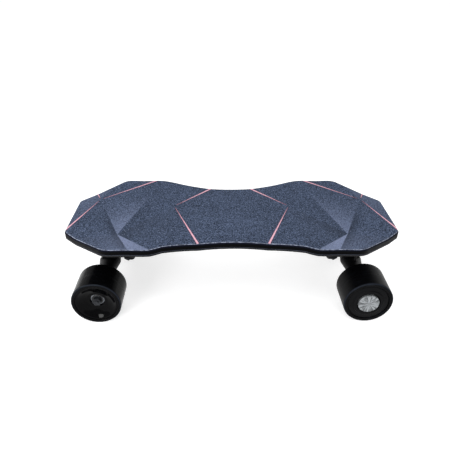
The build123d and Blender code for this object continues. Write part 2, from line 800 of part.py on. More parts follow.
with BuildPart() as truck_bolts:
    with BuildSketch(Plane((truck_x, 0, base_bottom_z))):
        with GridLocations(bolt_pitch_x, bolt_pitch_y, 2, 2):
            Circle(bolt_radius)
    extrude(amount=bolt_top_z - base_bottom_z - 0.5)
    with BuildSketch(Plane((truck_x, 0, base_bottom_z))):
        with GridLocations(bolt_pitch_x, bolt_pitch_y, 2, 2):
            Circle(4.3)
    extrude(amount=-3.6)
    with BuildSketch(Plane((truck_x, 0, base_bottom_z - 3.6))):
        with GridLocations(bolt_pitch_x, bolt_pitch_y, 2, 2):
            RegularPolygon(2.2, 6)
    extrude(amount=2.2, mode=Mode.SUBTRACT)
save_both_ends("truck_bolts", truck_bolts.part)

web_half = 7.0


def in_side_plane(point):
    """A point of the truck's middle plane, as the side plane's own two numbers."""
    return (point.X - axle_x, point.Z - axle_z)


def hanger(bore_radius, bore_start_y, nose_radius_, nose_end_y):
    """The cast hanger: a bar that thins towards the wheels, a web, the bushings' ring and the pivot."""
    ring_edge = ring_centre + steer_dir * (ring_radius - 3)
    neck = pivot_centre - steer_dir * 8
    with BuildPart() as made:
        for side in (-1, 1):
            with BuildSketch(Plane(origin=(axle_x, 0, axle_z), x_dir=(1, 0, 0), z_dir=(0, side, 0))):
                Ellipse(hanger_half_depth, hanger_half_height)
            with BuildSketch(Plane(origin=(axle_x, side * 46, axle_z), x_dir=(1, 0, 0), z_dir=(0, side, 0))):
                Circle(barrel_radius)
            loft()
            with BuildSketch(Plane(origin=(axle_x, side * 46, axle_z), x_dir=(1, 0, 0), z_dir=(0, side, 0))):
                Circle(barrel_radius)
            extrude(amount=barrel_end_y - 46)
            with BuildSketch(Plane(origin=(axle_x, side * 46, axle_z), x_dir=(1, 0, 0), z_dir=(0, side, 0))):
                Circle(nose_radius_)
            extrude(amount=nose_end_y - 46)
        with BuildSketch(side_plane()):
            with BuildLine():
                Polyline(
                    in_side_plane(ring_edge - king_dir * half_ring),
                    in_side_plane(neck - king_dir * pivot_radius),
                    in_side_plane(neck + king_dir * pivot_radius),
                    (14, 10), (-14, 8), (-21, 20),
                    in_side_plane(ring_edge + king_dir * half_ring), close=True,
                )
            make_face()
        extrude(amount=web_half, both=True)
        with BuildSketch(king_plane(-half_ring)):
            Circle(ring_radius)
        extrude(amount=ring_thickness)
        with BuildSketch(steer_plane(-14)):
            Circle(pivot_radius)
        extrude(amount=14)
        with Locations(pivot_centre):
            Sphere(pivot_radius)
        with BuildSketch(king_plane(-half_ring)):
            Circle(ring_hole_radius)
        extrude(amount=ring_thickness, mode=Mode.SUBTRACT)
        for side in (-1, 1):
            start = Plane(origin=(axle_x, side * bore_start_y, axle_z), x_dir=(1, 0, 0), z_dir=(0, side, 0))
            with BuildSketch(start):
                Circle(bore_radius)
            extrude(amount=nose_end_y - bore_start_y, mode=Mode.SUBTRACT)
    return made.part


# ---------------------------------------------------------------- running gear
# Each profile is drawn as (radius, y) pairs, and turned about the axle.
def turned(profile, rounded=0.0):
    """A ring or disc turned about the rear axle from half its section."""
    section_plane = Plane(origin=(axle_x, 0, axle_z), x_dir=(1, 0, 0), z_dir=(0, 0, 1))
    with BuildPart() as made:
        with BuildSketch(section_plane) as section:
            with BuildLine():
                Polyline(*profile, close=True)
            make_face()
            if rounded:
                outer = max(radius for radius, _ in profile)
                fillet([v for v in section.vertices() if abs(v.X - outer) < 0.01], rounded)
        revolve(axis=Axis((axle_x, 0, axle_z), (0, 1, 0)))
    return made.part


def ring(inner, outer, start, end):
    """A plain ring's section."""
    return [(inner, start), (outer, start), (outer, end), (inner, end)]


def to_front(piece):
    """The same piece on the front axle."""
    return mirror(piece, about=Plane.YZ)


# front truck: a through axle, with a free wheel on two bearings at each end
front_nose_end = wheel_inner_y + 5.0
inner_bearing_y = front_nose_end + 1.2
outer_bearing_y = wheel_face_y - 19.0
core_radius = 34.0
hub_radius = bearing_radius + 4.0
axle_end_y = wheel_face_y - 2.0
axle_hole = axle_radius + running_fit

save("hanger_front", to_front(hanger(axle_radius + running_fit, 0.0, 6.6, front_nose_end)))

with BuildPart() as axle_front:
    with BuildSketch(Plane(origin=(axle_x, -axle_end_y, axle_z), x_dir=(1, 0, 0), z_dir=(0, 1, 0))):
        Circle(axle_radius)
    extrude(amount=2 * axle_end_y)
    chamfer(axle_front.edges().filter_by(GeomType.CIRCLE), 0.6)
save("axle_front", to_front(axle_front.part))

tyre_front = turned(ring(core_radius + slip_fit, wheel_radius, wheel_inner_y, wheel_face_y), tread_shoulder)
core_front = turned([
    (core_radius, wheel_inner_y + 1.5), (core_radius, wheel_face_y - 1.5), (core_radius - 2.5, wheel_face_y - 1.5),
    (25.0, wheel_face_y - 6.0), (hub_radius + 1, wheel_face_y - 9.5), (bearing_radius + 0.8, wheel_face_y - 9.5),
    (bearing_radius + slip_fit, outer_bearing_y + bearing_width + 1), (bearing_radius + slip_fit, outer_bearing_y),
    (bearing_radius - 2, outer_bearing_y), (bearing_radius - 2, inner_bearing_y + bearing_width),
    (bearing_radius + slip_fit, inner_bearing_y + bearing_width), (bearing_radius + slip_fit, inner_bearing_y - 1),
    (hub_radius, inner_bearing_y - 1), (25.0, wheel_inner_y + 9.0), (core_radius - 2.5, wheel_inner_y + 1.5),
])
bearing_pair = []
for start in (inner_bearing_y, outer_bearing_y):
    end = start + bearing_width
    bearing_pair.append(turned([
        (axle_hole, start), (6.0, start), (6.6, start + 0.4), (9.4, start + 0.4), (10.0, start),
        (bearing_radius, start), (bearing_radius, end), (10.0, end), (9.4, end - 0.4), (6.6, end - 0.4),
        (6.0, end), (axle_hole, end),
    ]))
axle_spacer = turned(ring(axle_hole, 5.4, inner_bearing_y + bearing_width + 0.1, outer_bearing_y - 0.1))
speed_washers = [
    turned(ring(axle_hole, 5.6, front_nose_end + 0.1, inner_bearing_y - 0.1)),
    turned(ring(axle_hole, 5.6, outer_bearing_y + bearing_width + 0.1, outer_bearing_y + bearing_width + 1.1)),
]
nut_start_y = outer_bearing_y + bearing_width + 1.2
with BuildPart() as axle_nut:
    with BuildSketch(Plane(origin=(axle_x, nut_start_y, axle_z), x_dir=(1, 0, 0), z_dir=(0, 1, 0))):
        RegularPolygon(7.4, 6)
        Circle(axle_hole, mode=Mode.SUBTRACT)
    extrude(amount=6.5)


def group(pieces):
    """Separate solids that share one name."""
    with BuildPart() as made:
        for piece in pieces:
            add(piece)
    return made.part


def both_sides(pieces):
    """The pieces with their mirror images across the board, as one group."""
    return group(pieces + [mirror(piece, about=Plane.XZ) for piece in pieces])


save_sides("tyre_front", to_front(tyre_front))
save_sides("core_front", to_front(core_front))
save_sides("bearings_front", to_front(group(bearing_pair)))
save("axle_spacers", to_front(both_sides([axle_spacer])))
save("speed_washers", to_front(both_sides(speed_washers)))
save("axle_nuts", to_front(both_sides([axle_nut.part])))

# rear truck: a stub axle at each end carries a hub motor, whose can turns with the tyre
stub_start_y = 26.0
motor_inner_y = wheel_inner_y + 1.5
motor_bearing_in = motor_inner_y + 1.0
motor_bearing_out = wheel_face_y - 14.0
stub_end_y = motor_bearing_out + motor_bearing_width + 0.6
magnet_gap = 0.5
magnet_thickness = 1.8
can_wall = 4.6
magnet_outer = can_radius - can_wall
stator_radius = magnet_outer - magnet_thickness - magnet_gap
stator_start = motor_bearing_in + motor_bearing_width + 3.5
stator_end = motor_bearing_out - 3.5
cover_seat_y = wheel_face_y - 4.0
ring_step_radius = 24.8       # the raised ring on the motor's outer cover
cap_groove_radius = cap_radius + 1.8
magnet_count = 20
tooth_count = 18

lead_hole_x = axle_x + 2.0
lead_hole_y = 18.0
lead_start_z = axle_z + hanger_half_height - 4
with BuildPart() as hanger_rear:
    add(hanger(stub_radius + slip_fit, stub_start_y, stub_radius + 3.5, barrel_end_y + 2.0))
    for side in (-1, 1):
        with BuildSketch(Plane((lead_hole_x, side * lead_hole_y, lead_start_z))):
            Circle(lead_radius + slip_fit)
        extrude(amount=10, mode=Mode.SUBTRACT)
save("hanger_rear", hanger_rear.part)

stub_axle = turned([
    (0, stub_start_y + 0.2), (stub_radius, stub_start_y + 0.2), (stub_radius, stub_end_y), (0, stub_end_y),
])
motor_can = turned([
    (motor_bearing_radius + slip_fit, motor_inner_y), (can_radius - 1.5, motor_inner_y),
    (can_radius, motor_inner_y + 1.5), (can_radius, cover_seat_y), (magnet_outer, cover_seat_y),
    (magnet_outer, motor_bearing_in + 4.5), (motor_bearing_radius + 3.2, motor_bearing_in + 4.5),
    (motor_bearing_radius + 3.2, motor_bearing_in + motor_bearing_width),
    (motor_bearing_radius + slip_fit, motor_bearing_in + motor_bearing_width),
])
motor_cover = turned([
    (motor_bearing_radius + slip_fit, motor_bearing_out), (motor_bearing_radius + 3.2, motor_bearing_out),
    (motor_bearing_radius + 3.2, cover_seat_y - 3), (magnet_outer - slip_fit, cover_seat_y - 3),
    (magnet_outer - slip_fit, cover_seat_y), (can_radius, cover_seat_y), (can_radius, cover_seat_y + 2.0),
    (can_radius - 1.5, wheel_face_y - 1.0), (ring_step_radius, wheel_face_y - 0.6),
    (ring_step_radius - 0.8, wheel_face_y + 0.8), (cap_groove_radius + 0.5, wheel_face_y + 0.8),
    (cap_groove_radius, wheel_face_y), (cap_groove_radius, cover_seat_y + 0.5),
    (motor_bearing_radius + slip_fit, cover_seat_y + 0.5),
])
motor_cap = turned([
    (0, cover_seat_y + 0.5), (cap_radius, cover_seat_y + 0.5), (cap_radius, wheel_face_y + cap_proud - 1.0),
    (cap_radius - 1.0, wheel_face_y + cap_proud - 0.2), (0, wheel_face_y + cap_proud),
])
motor_bearing_pair = [
    turned(ring(stub_radius + running_fit, motor_bearing_radius, start, start + motor_bearing_width))
    for start in (motor_bearing_in, motor_bearing_out)
]
tyre_rear = turned(ring(can_radius + slip_fit, wheel_radius, wheel_inner_y, wheel_face_y), tread_shoulder)

with BuildPart() as magnets:
    with BuildSketch(Plane(origin=(axle_x, stator_start, axle_z), x_dir=(1, 0, 0), z_dir=(0, 1, 0))):
        Circle(magnet_outer - slip_fit)
        Circle(magnet_outer - magnet_thickness, mode=Mode.SUBTRACT)
        with PolarLocations(magnet_outer, magnet_count):
            Rectangle(3 * magnet_thickness, 1.2, mode=Mode.SUBTRACT)
    extrude(amount=stator_end - stator_start)

with BuildPart() as stator:
    with BuildSketch(Plane(origin=(axle_x, stator_start, axle_z), x_dir=(1, 0, 0), z_dir=(0, 1, 0))):
        Circle(stator_radius)
        with PolarLocations((stator_radius + 13) / 2, tooth_count):
            Rectangle(stator_radius - 13 - 3, 3.0, mode=Mode.SUBTRACT)
        with PolarLocations(stator_radius - 1.5, tooth_count):
            Rectangle(5, 1.2, mode=Mode.SUBTRACT)
        Circle(stub_radius + slip_fit, mode=Mode.SUBTRACT)
    extrude(amount=stator_end - stator_start)

save("stub_axles", both_sides([stub_axle]))
save("stators", both_sides([stator.part]))
save_sides("magnets", magnets.part)
save_sides("motor_can", motor_can)
save_sides("motor_cover", motor_cover)
save_sides("motor_cap", motor_cap)
save_sides("motor_bearings", group(motor_bearing_pair))
save_sides("tyre_rear", tyre_rear)

# ---------------------------------------------------------------- motor leads, from the hanger up into the pan
lead_route = [
    (lead_hole_x, lead_hole_y, lead_start_z),
    (lead_hole_x, lead_hole_y, lead_start_z + 6),
    (axle_x + 1, lead_hole_y + 0.5, axle_z + 28),
    (axle_x - 14, lead_hole_y + 3.5, axle_z + 41),
    (axle_x - 45, lead_hole_y + 3.0, axle_z + 42),
    (gland_x + 16, gland_y + 1.0, pan_bottom_z - 22.5),
    (gland_x + 3.5, gland_y + 0.3, pan_bottom_z - 18),
    (gland_x, gland_y, pan_bottom_z - 11),
    (gland_x, gland_y, pan_floor_z + 2),
]


def bend_radius(before, corner, after):
    """The widest arc that two runs of the route allow at their corner."""
    into, out = Vector(*corner) - Vector(*before), Vector(*after) - Vector(*corner)
    turn = radians(into.get_angle(out))
    return 0.45 * min(into.length, out.length) * cos(turn / 2) / max(sin(turn / 2), 0.01)


lead_bends = [bend_radius(*lead_route[i:i + 3]) for i in range(len(lead_route) - 2)]
print("lead bend radii:", [round(radius, 1) for radius in lead_bends])

with BuildPart() as motor_leads:
    with BuildLine() as lead_path:
        FilletPolyline(*lead_route, radius=lead_bends)
    with BuildSketch(Plane(origin=lead_path.line @ 0, z_dir=lead_path.line % 0)):
        Circle(lead_radius)
    sweep()
    mirror(about=Plane.XZ)
save("motor_leads", motor_leads.part)
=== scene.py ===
# %% [markdown]
# # Dressing an electric skateboard
#
# The measured model already knows the board's shape and how it moves. This
# lesson gives it its looks. It loads the model as a fixed frame, places a
# camera, a floor and soft lamps, and then makes one finish or one piece at a
# time: gritty facets, a bevelled rim, cast trucks, glossy wheels, a brushed
# motor cap. Most pieces are tied to the body that they move with; the bushings
# and the motor leads are given none and stay where they are at rest.

# %% Load the measured model
from math import cos, pi, radians, sin, tau

import bmesh
import bpy
from mathutils import Matrix, Vector


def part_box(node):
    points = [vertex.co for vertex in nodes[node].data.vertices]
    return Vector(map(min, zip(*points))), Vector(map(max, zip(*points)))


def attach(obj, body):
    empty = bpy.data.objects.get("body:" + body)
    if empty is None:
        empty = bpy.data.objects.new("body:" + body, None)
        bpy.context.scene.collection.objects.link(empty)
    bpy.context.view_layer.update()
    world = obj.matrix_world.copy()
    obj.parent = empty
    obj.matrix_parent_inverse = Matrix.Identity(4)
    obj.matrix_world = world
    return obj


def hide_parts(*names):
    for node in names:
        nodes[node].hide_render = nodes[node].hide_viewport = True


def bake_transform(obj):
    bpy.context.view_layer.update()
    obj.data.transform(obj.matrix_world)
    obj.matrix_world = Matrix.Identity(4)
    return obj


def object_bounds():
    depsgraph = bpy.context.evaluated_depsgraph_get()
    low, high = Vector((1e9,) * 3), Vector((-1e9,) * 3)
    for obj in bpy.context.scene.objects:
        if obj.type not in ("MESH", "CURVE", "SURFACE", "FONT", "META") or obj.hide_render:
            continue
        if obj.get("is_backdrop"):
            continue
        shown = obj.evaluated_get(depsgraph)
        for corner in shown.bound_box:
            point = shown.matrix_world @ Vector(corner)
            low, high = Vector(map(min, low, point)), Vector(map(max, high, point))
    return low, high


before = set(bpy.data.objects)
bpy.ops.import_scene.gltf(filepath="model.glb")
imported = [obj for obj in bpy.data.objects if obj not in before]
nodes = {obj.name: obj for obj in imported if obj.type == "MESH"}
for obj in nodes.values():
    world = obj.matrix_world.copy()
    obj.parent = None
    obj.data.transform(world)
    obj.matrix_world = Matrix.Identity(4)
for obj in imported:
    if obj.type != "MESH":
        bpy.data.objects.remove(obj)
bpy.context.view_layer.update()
MM = 0.001

# %% [markdown]
# ## The camera
#
# The camera is held about as high as a knee, in front of the board's long
# side, and looks down on it, so all of the deck shows and the wheels hang below
# it. A lens as long as its sensor is wide gives that gently converging look.
# The direction is given by three plain angles: how far it is turned, how far it
# looks down, and a trace of lean.

# %% Place the camera
EYE = Vector((-0.0248, -0.659, 0.5329))
TURNED = radians(-1.15)
LOOKING_DOWN = radians(32.3)
LEAN = radians(0.52)
LENS_MM = 36
NEAREST = 10 * MM

lens = bpy.data.cameras.new("camera")
lens.lens, lens.sensor_width, lens.clip_start = LENS_MM, LENS_MM, NEAREST
camera = bpy.data.objects.new("camera", lens)
bpy.context.scene.collection.objects.link(camera)
camera.matrix_world = (
    Matrix.Translation(EYE)
    @ Matrix.Rotation(TURNED, 4, "Z")
    @ Matrix.Rotation(pi / 2 - LOOKING_DOWN, 4, "X")
    @ Matrix.Rotation(LEAN, 4, "Z")
)
bpy.context.scene.camera = camera
bpy.context.scene.view_settings.view_transform = "Standard"
print("camera to the floor under the board, m:", round(EYE.length, 3))

# %% [markdown]
# ## Boards of nodes
#
# Finishes and repeating shapes are both made of nodes. A small class keeps a
# node tree and adds to it: a node's type, its settings, and what goes into its
# sockets. What comes back is a Wire, and sums on wires add Math nodes, so that
# `1 - mask` or `speck * 0.3 + 0.5` can be written as plain sums.


# %% A wire and a board of nodes
class Wire:
    """What comes out of a node. Sums on it add Math nodes."""

    def __init__(self, board, socket):
        self.board, self.socket = board, socket

    def __add__(self, other):
        return self.board.maths("ADD", self, other)

    def __sub__(self, other):
        return self.board.maths("SUBTRACT", self, other)

    def __rsub__(self, other):
        return self.board.maths("SUBTRACT", other, self)

    def __mul__(self, other):
        return self.board.maths("MULTIPLY", self, other)

    def __gt__(self, other):
        return self.board.maths("GREATER_THAN", self, other)

    def __abs__(self):
        return self.board.maths("ABSOLUTE", self)

    __radd__, __rmul__ = __add__, __mul__

    def clipped(self):
        return self.board.add("ShaderNodeClamp", {}, {0: self})

    def ramp(self, low, high):
        """0 below low, 1 above high, and a straight slope between them."""
        return ((self - low) * (1 / (high - low))).clipped()

    def over(self, low, high):
        """The same slope for a distance, between two places given in mm."""
        return self.ramp(low * MM, high * MM)


class Board:
    """A node tree with one short way to add a node."""

    def __init__(self, tree):
        self.tree = tree

    def add(self, kind, settings, inputs, out=0):
        node = self.tree.nodes.new(kind)
        for name, value in settings.items():
            setattr(node, name, value)
        for key, value in inputs.items():
            if isinstance(value, Wire):
                self.tree.links.new(value.socket, node.inputs[key])
            else:
                node.inputs[key].default_value = value
        return Wire(self, node.outputs[out])

    def maths(self, operation, *values):
        return self.add("ShaderNodeMath", {"operation": operation}, dict(enumerate(values)))


# %% [markdown]
# A finish is a board with a shader on it. Every pattern reads Object
# coordinates, in metres, so a speck's size is given as its real size, and the
# pattern stays on the piece when the piece moves. What is the same all over a
# surface, such as how clear its lacquer is, is set on the shader's own socket.


# %% A finish
ASKEW = (0.6, 0.45, 0.3)


def paint(red, green, blue):
    """A screen's colour, 0 to 255, in Blender's linear light, by the sRGB curve."""
    share = [v / 255 for v in (red, green, blue)]
    linear = [v / 12.92 if v < 0.04045 else ((v + 0.055) / 1.055) ** 2.4 for v in share]
    return (*linear, 1)


class Finish(Board):
    """A material: its shader, and the patterns that feed it."""

    def __init__(self, name, **constants):
        self.material = bpy.data.materials.new(name)
        self.material.use_nodes = True
        super().__init__(self.material.node_tree)
        self.shader = self.tree.nodes["Principled BSDF"]
        for socket, value in constants.items():
            self.shader.inputs[socket.replace("_", " ")].default_value = value
        self.place = self.add("ShaderNodeTexCoord", {}, {}, out="Object")

    def feed(self, socket, wire):
        self.tree.links.new(wire.socket, self.shader.inputs[socket])

    def parts(self, vector=None):
        """The x, y and z of a place."""
        node = self.add("ShaderNodeSeparateXYZ", {}, {0: vector or self.place})
        return [Wire(self, socket) for socket in node.socket.node.outputs]

    def reach(self, x, z):
        """How far a place is from an axle, from its x and z measured from there."""
        return self.maths("SQRT", x * x + z * z)

    def stretched(self, by):
        """Places with each axis multiplied, so that a pattern gets finer along it."""
        return self.add("ShaderNodeMapping", {}, {"Vector": self.place, "Scale": by})

    def askew(self):
        """Places turned askew, so that no flat face lies along the noise's own planes."""
        return self.add("ShaderNodeMapping", {}, {"Vector": self.place, "Rotation": ASKEW})

    def noise(self, speck, detail=2.0, where=None):
        """Soft noise, 0 to 1, of the given speck size in metres."""
        inputs = {"Vector": where or self.place, "Scale": 1 / speck, "Detail": detail}
        return self.add("ShaderNodeTexNoise", {}, inputs)

    def cells(self, speck):
        """Random values, one to each little cell."""
        inputs = {"Vector": self.place, "Scale": 1 / speck}
        return self.parts(self.add("ShaderNodeTexVoronoi", {}, inputs, out="Color"))[0]

    def mix(self, mask, first, second):
        """The first colour where the mask is 0, and the second where it is 1."""
        inputs = {0: mask, 6: first, 7: second}
        return self.add("ShaderNodeMix", {"data_type": "RGBA"}, inputs, out=2)

    def emboss(self, height, depth, strength=1.0):
        """Shallow relief: the height, 0 to 1, stands for this depth in metres."""
        inputs = {"Height": height, "Distance": depth, "Strength": strength}
        self.feed("Normal", self.add("ShaderNodeBump", {}, inputs))


WHITE = paint(255, 255, 255)
print("white paint in linear light:", WHITE)

# %% [markdown]
# ## Floor and light
#
# A plain pale floor that glows a little, like a light table, keeps the shadows
# faint and the eye on the board. Black glossy parts show little colour of their
# own, only what they mirror, so the lamps are placed for their reflections: a
# wide one overhead for the deck, a lower one behind on either side that draws a
# soft band down each wheel, and a small one in front for the dished hubs.

# %% Lay the floor
FLOOR_HALF = 6.0
FLOOR_GLOW = 0.66
FLOOR_CLOUD = 0.8

floor_finish = Finish(
    "studio_floor", Roughness=0.9, Specular_IOR_Level=0.1,
    Emission_Color=WHITE, Emission_Strength=FLOOR_GLOW,
)
cloud = floor_finish.noise(FLOOR_CLOUD)
pale_tones = paint(198, 198, 199), paint(206, 206, 206)
floor_finish.feed("Base Color", floor_finish.mix(cloud, *pale_tones))
floor_mesh = bpy.data.meshes.new("studio_floor")
corners = [(x * FLOOR_HALF, y * FLOOR_HALF, 0) for x, y in ((-1, -1), (1, -1), (1, 1), (-1, 1))]
floor_mesh.from_pydata(corners, [], [(0, 1, 2, 3)])
floor_mesh.materials.append(floor_finish.material)
floor = bpy.data.objects.new("studio_floor", floor_mesh)
bpy.context.scene.collection.objects.link(floor)
floor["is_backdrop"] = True
print("floor, m:", 2 * FLOOR_HALF)

# %% Hang the lamps
BOARD_MIDDLE = (0, 0, 0.1)
FRONT_WHEEL = (-0.22, -0.12, 0.04)
# Each lamp: where it hangs, what it faces, its width and height in metres, and its watts.
LAMPS = {
    "overhead": ((-0.2, -0.5, 1.7), BOARD_MIDDLE, 1.8, 1.2, 20),
    "left_wing": ((-1.5, 0.7, 0.75), BOARD_MIDDLE, 0.7, 0.7, 7),
    "right_wing": ((1.5, 0.7, 0.75), BOARD_MIDDLE, 0.7, 0.7, 6),
    "front_window": ((-1.05, -1.62, 0.74), FRONT_WHEEL, 0.8, 0.34, 20),
}
SKY_STRENGTH = 0.6

for name, (spot, aim, wide, high, watts) in LAMPS.items():
    lamp = bpy.data.lights.new(name, "AREA")
    lamp.shape, lamp.size, lamp.size_y, lamp.energy = "RECTANGLE", wide, high, watts
    hung = bpy.data.objects.new(name, lamp)
    bpy.context.scene.collection.objects.link(hung)
    hung.location = spot
    hung.rotation_mode = "QUATERNION"
    hung.rotation_quaternion = (Vector(aim) - Vector(spot)).to_track_quat("-Z", "Y")
    print(name, "watts to a square metre:", round(watts / (wide * high), 1))

sky = bpy.data.worlds.new("studio_air")
sky.use_nodes = True
sky.node_tree.nodes["Background"].inputs["Color"].default_value = WHITE
sky.node_tree.nodes["Background"].inputs["Strength"].default_value = SKY_STRENGTH
bpy.context.scene.world = sky

# %% [markdown]
# ## The grip sheet
#
# The sheet is coated with mineral grit in a blue-grey binder, laid over a
# folded, faceted deck. Its look has four layers: painted light that makes some
# facets paler and painted shade that darkens others towards a crease, soft
# cloudy wear, the grain itself, and single crystals painted paler as glints.
# The pattern is the same at both ends of the board, so it is drawn once on the
# distance from the middle. A facet is a triangle, and a triangle is three
# half-planes multiplied together.

# %% Draw a facet's triangle
NOSE_NODE, LOBE_NODE, WAIST_NODE = (233.5, 50.0), (185.0, -57.0), (100.0, 23.5)
FAR_WAIST, NEAR_WAIST = (125.0, 115.5), (125.0, -115.5)
NEAR_BEND, NEAR_NOSE = (158.0, -115.5), (272.0, -50.0)
PAINT_EDGE = 1.5


def left_of(along, across, start, end):
    """How far, in metres, a place is to the left of the line from start to end, in mm."""
    run, rise = end[0] - start[0], end[1] - start[1]
    length = (run * run + rise * rise) ** 0.5
    ahead, aside = along - start[0] * MM, across - start[1] * MM
    return aside * (run / length) - ahead * (rise / length)


def past(along, across, start, end):
    """1 on the left of the line from start to end, in mm, and 0 on its right."""
    return left_of(along, across, start, end).over(-PAINT_EDGE / 2, PAINT_EDGE / 2)


def facet_triangle(along, across, first, second, third):
    """1 inside the triangle, whose corners go round to the left."""
    inside = past(along, across, first, second) * past(along, across, second, third)
    return inside * past(along, across, third, first)


# %% Paint light on the pale facets
UPPER_PALE, NOSE_PALE, TIP_PALE = 0.62, 0.32, 0.22
LOWER_PALE, LOWER_GAIN = 0.6, 0.35
UPPER_FADE = 0.6


def painted_light_facets(along, y):
    """How much painted light a place gets, and which part of that is the lower facet."""
    upper = facet_triangle(along, y, FAR_WAIST, LOBE_NODE, NOSE_NODE)
    from_waist = 1 - left_of(along, y, FAR_WAIST, LOBE_NODE).over(0, 48) * UPPER_FADE
    from_node = 1 - y.over(LOBE_NODE[1], 62)
    lower = facet_triangle(along, y, NEAR_WAIST, NEAR_BEND, LOBE_NODE)
    to_bend = along.over(112, 168) * LOWER_GAIN + LOWER_PALE
    nose = 1 - past(along, y, LOBE_NODE, NOSE_NODE)
    beside_nose = left_of(along, y, LOBE_NODE, NOSE_NODE).over(-70, -12) * (0 - y).over(35, 115)
    tip = 1 - past(along, y, NEAR_NOSE, NOSE_NODE)
    tip_corner = y.over(-40, 40) * along.over(215, 240)
    # Painted light: the upper and lower facets, and parts of the nose and tip, are painted paler.
    painted_light = upper * from_waist * from_node * UPPER_PALE + lower * to_bend
    painted_light = painted_light + nose * beside_nose * (1 - lower) * NOSE_PALE
    return painted_light + tip * tip_corner * TIP_PALE, lower


# %% Shade the dark creases
NOSE_SHADE, MIDDLE_SHADE, FOLD_SHADE = 1.1, 0.35, 0.45
MIDDLE_FADE = 0.8


def painted_shade_facets(along, y, lower):
    """Painted shade that gathers in the creases that meet at the lobe's node."""
    beyond = 1 - past(along, y, LOBE_NODE, NOSE_NODE)
    crease = left_of(along, y, LOBE_NODE, NOSE_NODE).over(-15, 0)
    nose = beyond * crease * (1 - y.over(-45, 30))
    outside = 1 - past(along, y, FAR_WAIST, LOBE_NODE)
    from_pale = (0 - left_of(along, y, FAR_WAIST, LOBE_NODE)).over(0, 40)
    middle = outside * (1 - from_pale) * (1 - y.over(-40, 60) * MIDDLE_FADE)
    fold = past(along, y, LOBE_NODE, WAIST_NODE)
    from_fold = left_of(along, y, LOBE_NODE, WAIST_NODE).over(0, 50)
    below = fold * (1 - from_fold) * along.over(100, 175)
    inner = (middle * MIDDLE_SHADE + below * FOLD_SHADE) * (1 - lower) * (1 - beyond)
    return (nose * NOSE_SHADE + inner).clipped()


# %% Mix the grip's finish
# The pale tone is painted light on the facets, and the shade tone is painted shade in the creases.
GRIP_DARK, GRIP_MID = paint(26, 34, 48), paint(76, 88, 112)
GRIP_PAINTED_LIGHT, GRIP_SHADE = paint(112, 122, 149), paint(24, 31, 44)
# The glint tone is a painted glint on single crystals.
GRIP_GLINT = paint(130, 142, 168)
GRAIN, CLOUD, SCUFF, GLINT = 1.9 * MM, 40 * MM, 18 * MM, 1.1 * MM
GRAIN_CONTRAST, CLOUD_CONTRAST, SCUFF_CONTRAST = 4.6, 0.35, 0.22
GRIP_TONE, TRODDEN_TONE = 0.42, 0.02
TRODDEN_Y, TRODDEN_REACH, TRODDEN_FLATTER = -45 * MM, 86.6 * MM, 2.5
ALONG_BOARD = (0.3, 1.0, 1.0)
SHADE_STRENGTH, GLINT_STRENGTH, FEW = 0.75, 0.5, 0.99


def grip_colour(finish):
    """The sheet's colour with its painted light and shade, its grain for the relief, and its
    painted glints.
    """
    x, y, _ = finish.parts()
    along = abs(x)
    pale, lower = painted_light_facets(along, y)
    dark = painted_shade_facets(along, y, lower)
    grain, cloudy = finish.noise(GRAIN, 4, finish.askew()), finish.noise(CLOUD, 3)
    from_feet = y - TRODDEN_Y
    from_feet = x * x + from_feet * from_feet * TRODDEN_FLATTER
    trodden = 1 - from_feet.ramp(0, TRODDEN_REACH ** 2)
    scuffed = finish.noise(SCUFF, 2, finish.stretched(ALONG_BOARD)).ramp(0.48, 0.6)
    wear = (cloudy - 0.5) * CLOUD_CONTRAST + trodden * (scuffed * SCUFF_CONTRAST + TRODDEN_TONE)
    speckle = (grain - 0.5) * GRAIN_CONTRAST + wear + GRIP_TONE
    base = finish.mix(speckle.clipped(), GRIP_DARK, GRIP_MID)
    # Painted shade: the crease mask darkens the sheet towards the shade tone.
    shaded = finish.mix(dark * SHADE_STRENGTH, base, GRIP_SHADE)
    # Painted light: the pale mask lightens the sheet towards the pale tone.
    painted_light = finish.mix(pale * (speckle * 0.6 + 0.7).clipped(), shaded, GRIP_PAINTED_LIGHT)
    # Painted glint: a few cells are painted paler; only their lower roughness is real.
    glint = finish.cells(GLINT) > FEW
    return finish.mix(glint * GLINT_STRENGTH, painted_light, GRIP_GLINT), grain, glint


grip = Finish("grip_sheet_grit", Roughness=0.8, Specular_IOR_Level=0.15)
colour, grain, glint = grip_colour(grip)
grip.feed("Base Color", colour)
grip.feed("Roughness", 0.85 - glint * 0.4)
grip.emboss(grain, 0.3 * MM, 0.8)
print("grip nodes:", len(grip.tree.nodes))

# %% [markdown]
# ## Inlaid stripes
#
# Thin tapered strips of pink vinyl lie in slots of the sheet, each with a red
# edge. Printed vinyl is smooth beside the grit but not clean: dust from shoes
# dulls it in patches.


# %% Mix the stripes' finishes
def vinyl(name, clean, worn_and_lit):
    """Printed vinyl from its clean and its worn colour."""
    made = Finish(name, Roughness=0.5, Specular_IOR_Level=0.2)
    patches, specks = made.noise(6 * MM, 4), made.noise(0.9 * MM)
    dust = patches.ramp(0.45, 0.75) * 0.5 + specks * 0.25
    made.feed("Base Color", made.mix(dust.clipped(), paint(*clean), paint(*worn_and_lit)))
    made.feed("Roughness", dust * 0.3 + 0.45)
    made.emboss(made.noise(0.8 * MM), 0.05 * MM)
    return made


finishes = {
    "grip": grip,
    "stripe_pink": vinyl("stripe_pink_vinyl", (214, 166, 180), (164, 126, 140)),
    "stripe_red": vinyl("stripe_red_vinyl", (92, 46, 60), (66, 40, 52)),
}
print("finishes so far:", len(finishes))

# %% [markdown]
# ## Plain finishes
#
# Most other parts are moulded plastic, rubber, bare metal or plated steel. They
# share one recipe: a colour that drifts between two close tones, a roughness
# that drifts with it, and a fine grain in relief. Only the numbers differ, so
# they stand in a table, one row for each slot of the model. A part's grain is
# as fine or as coarse as the way the real part is made leaves it.

# %% The shared recipe
DRIFT = 20 * MM


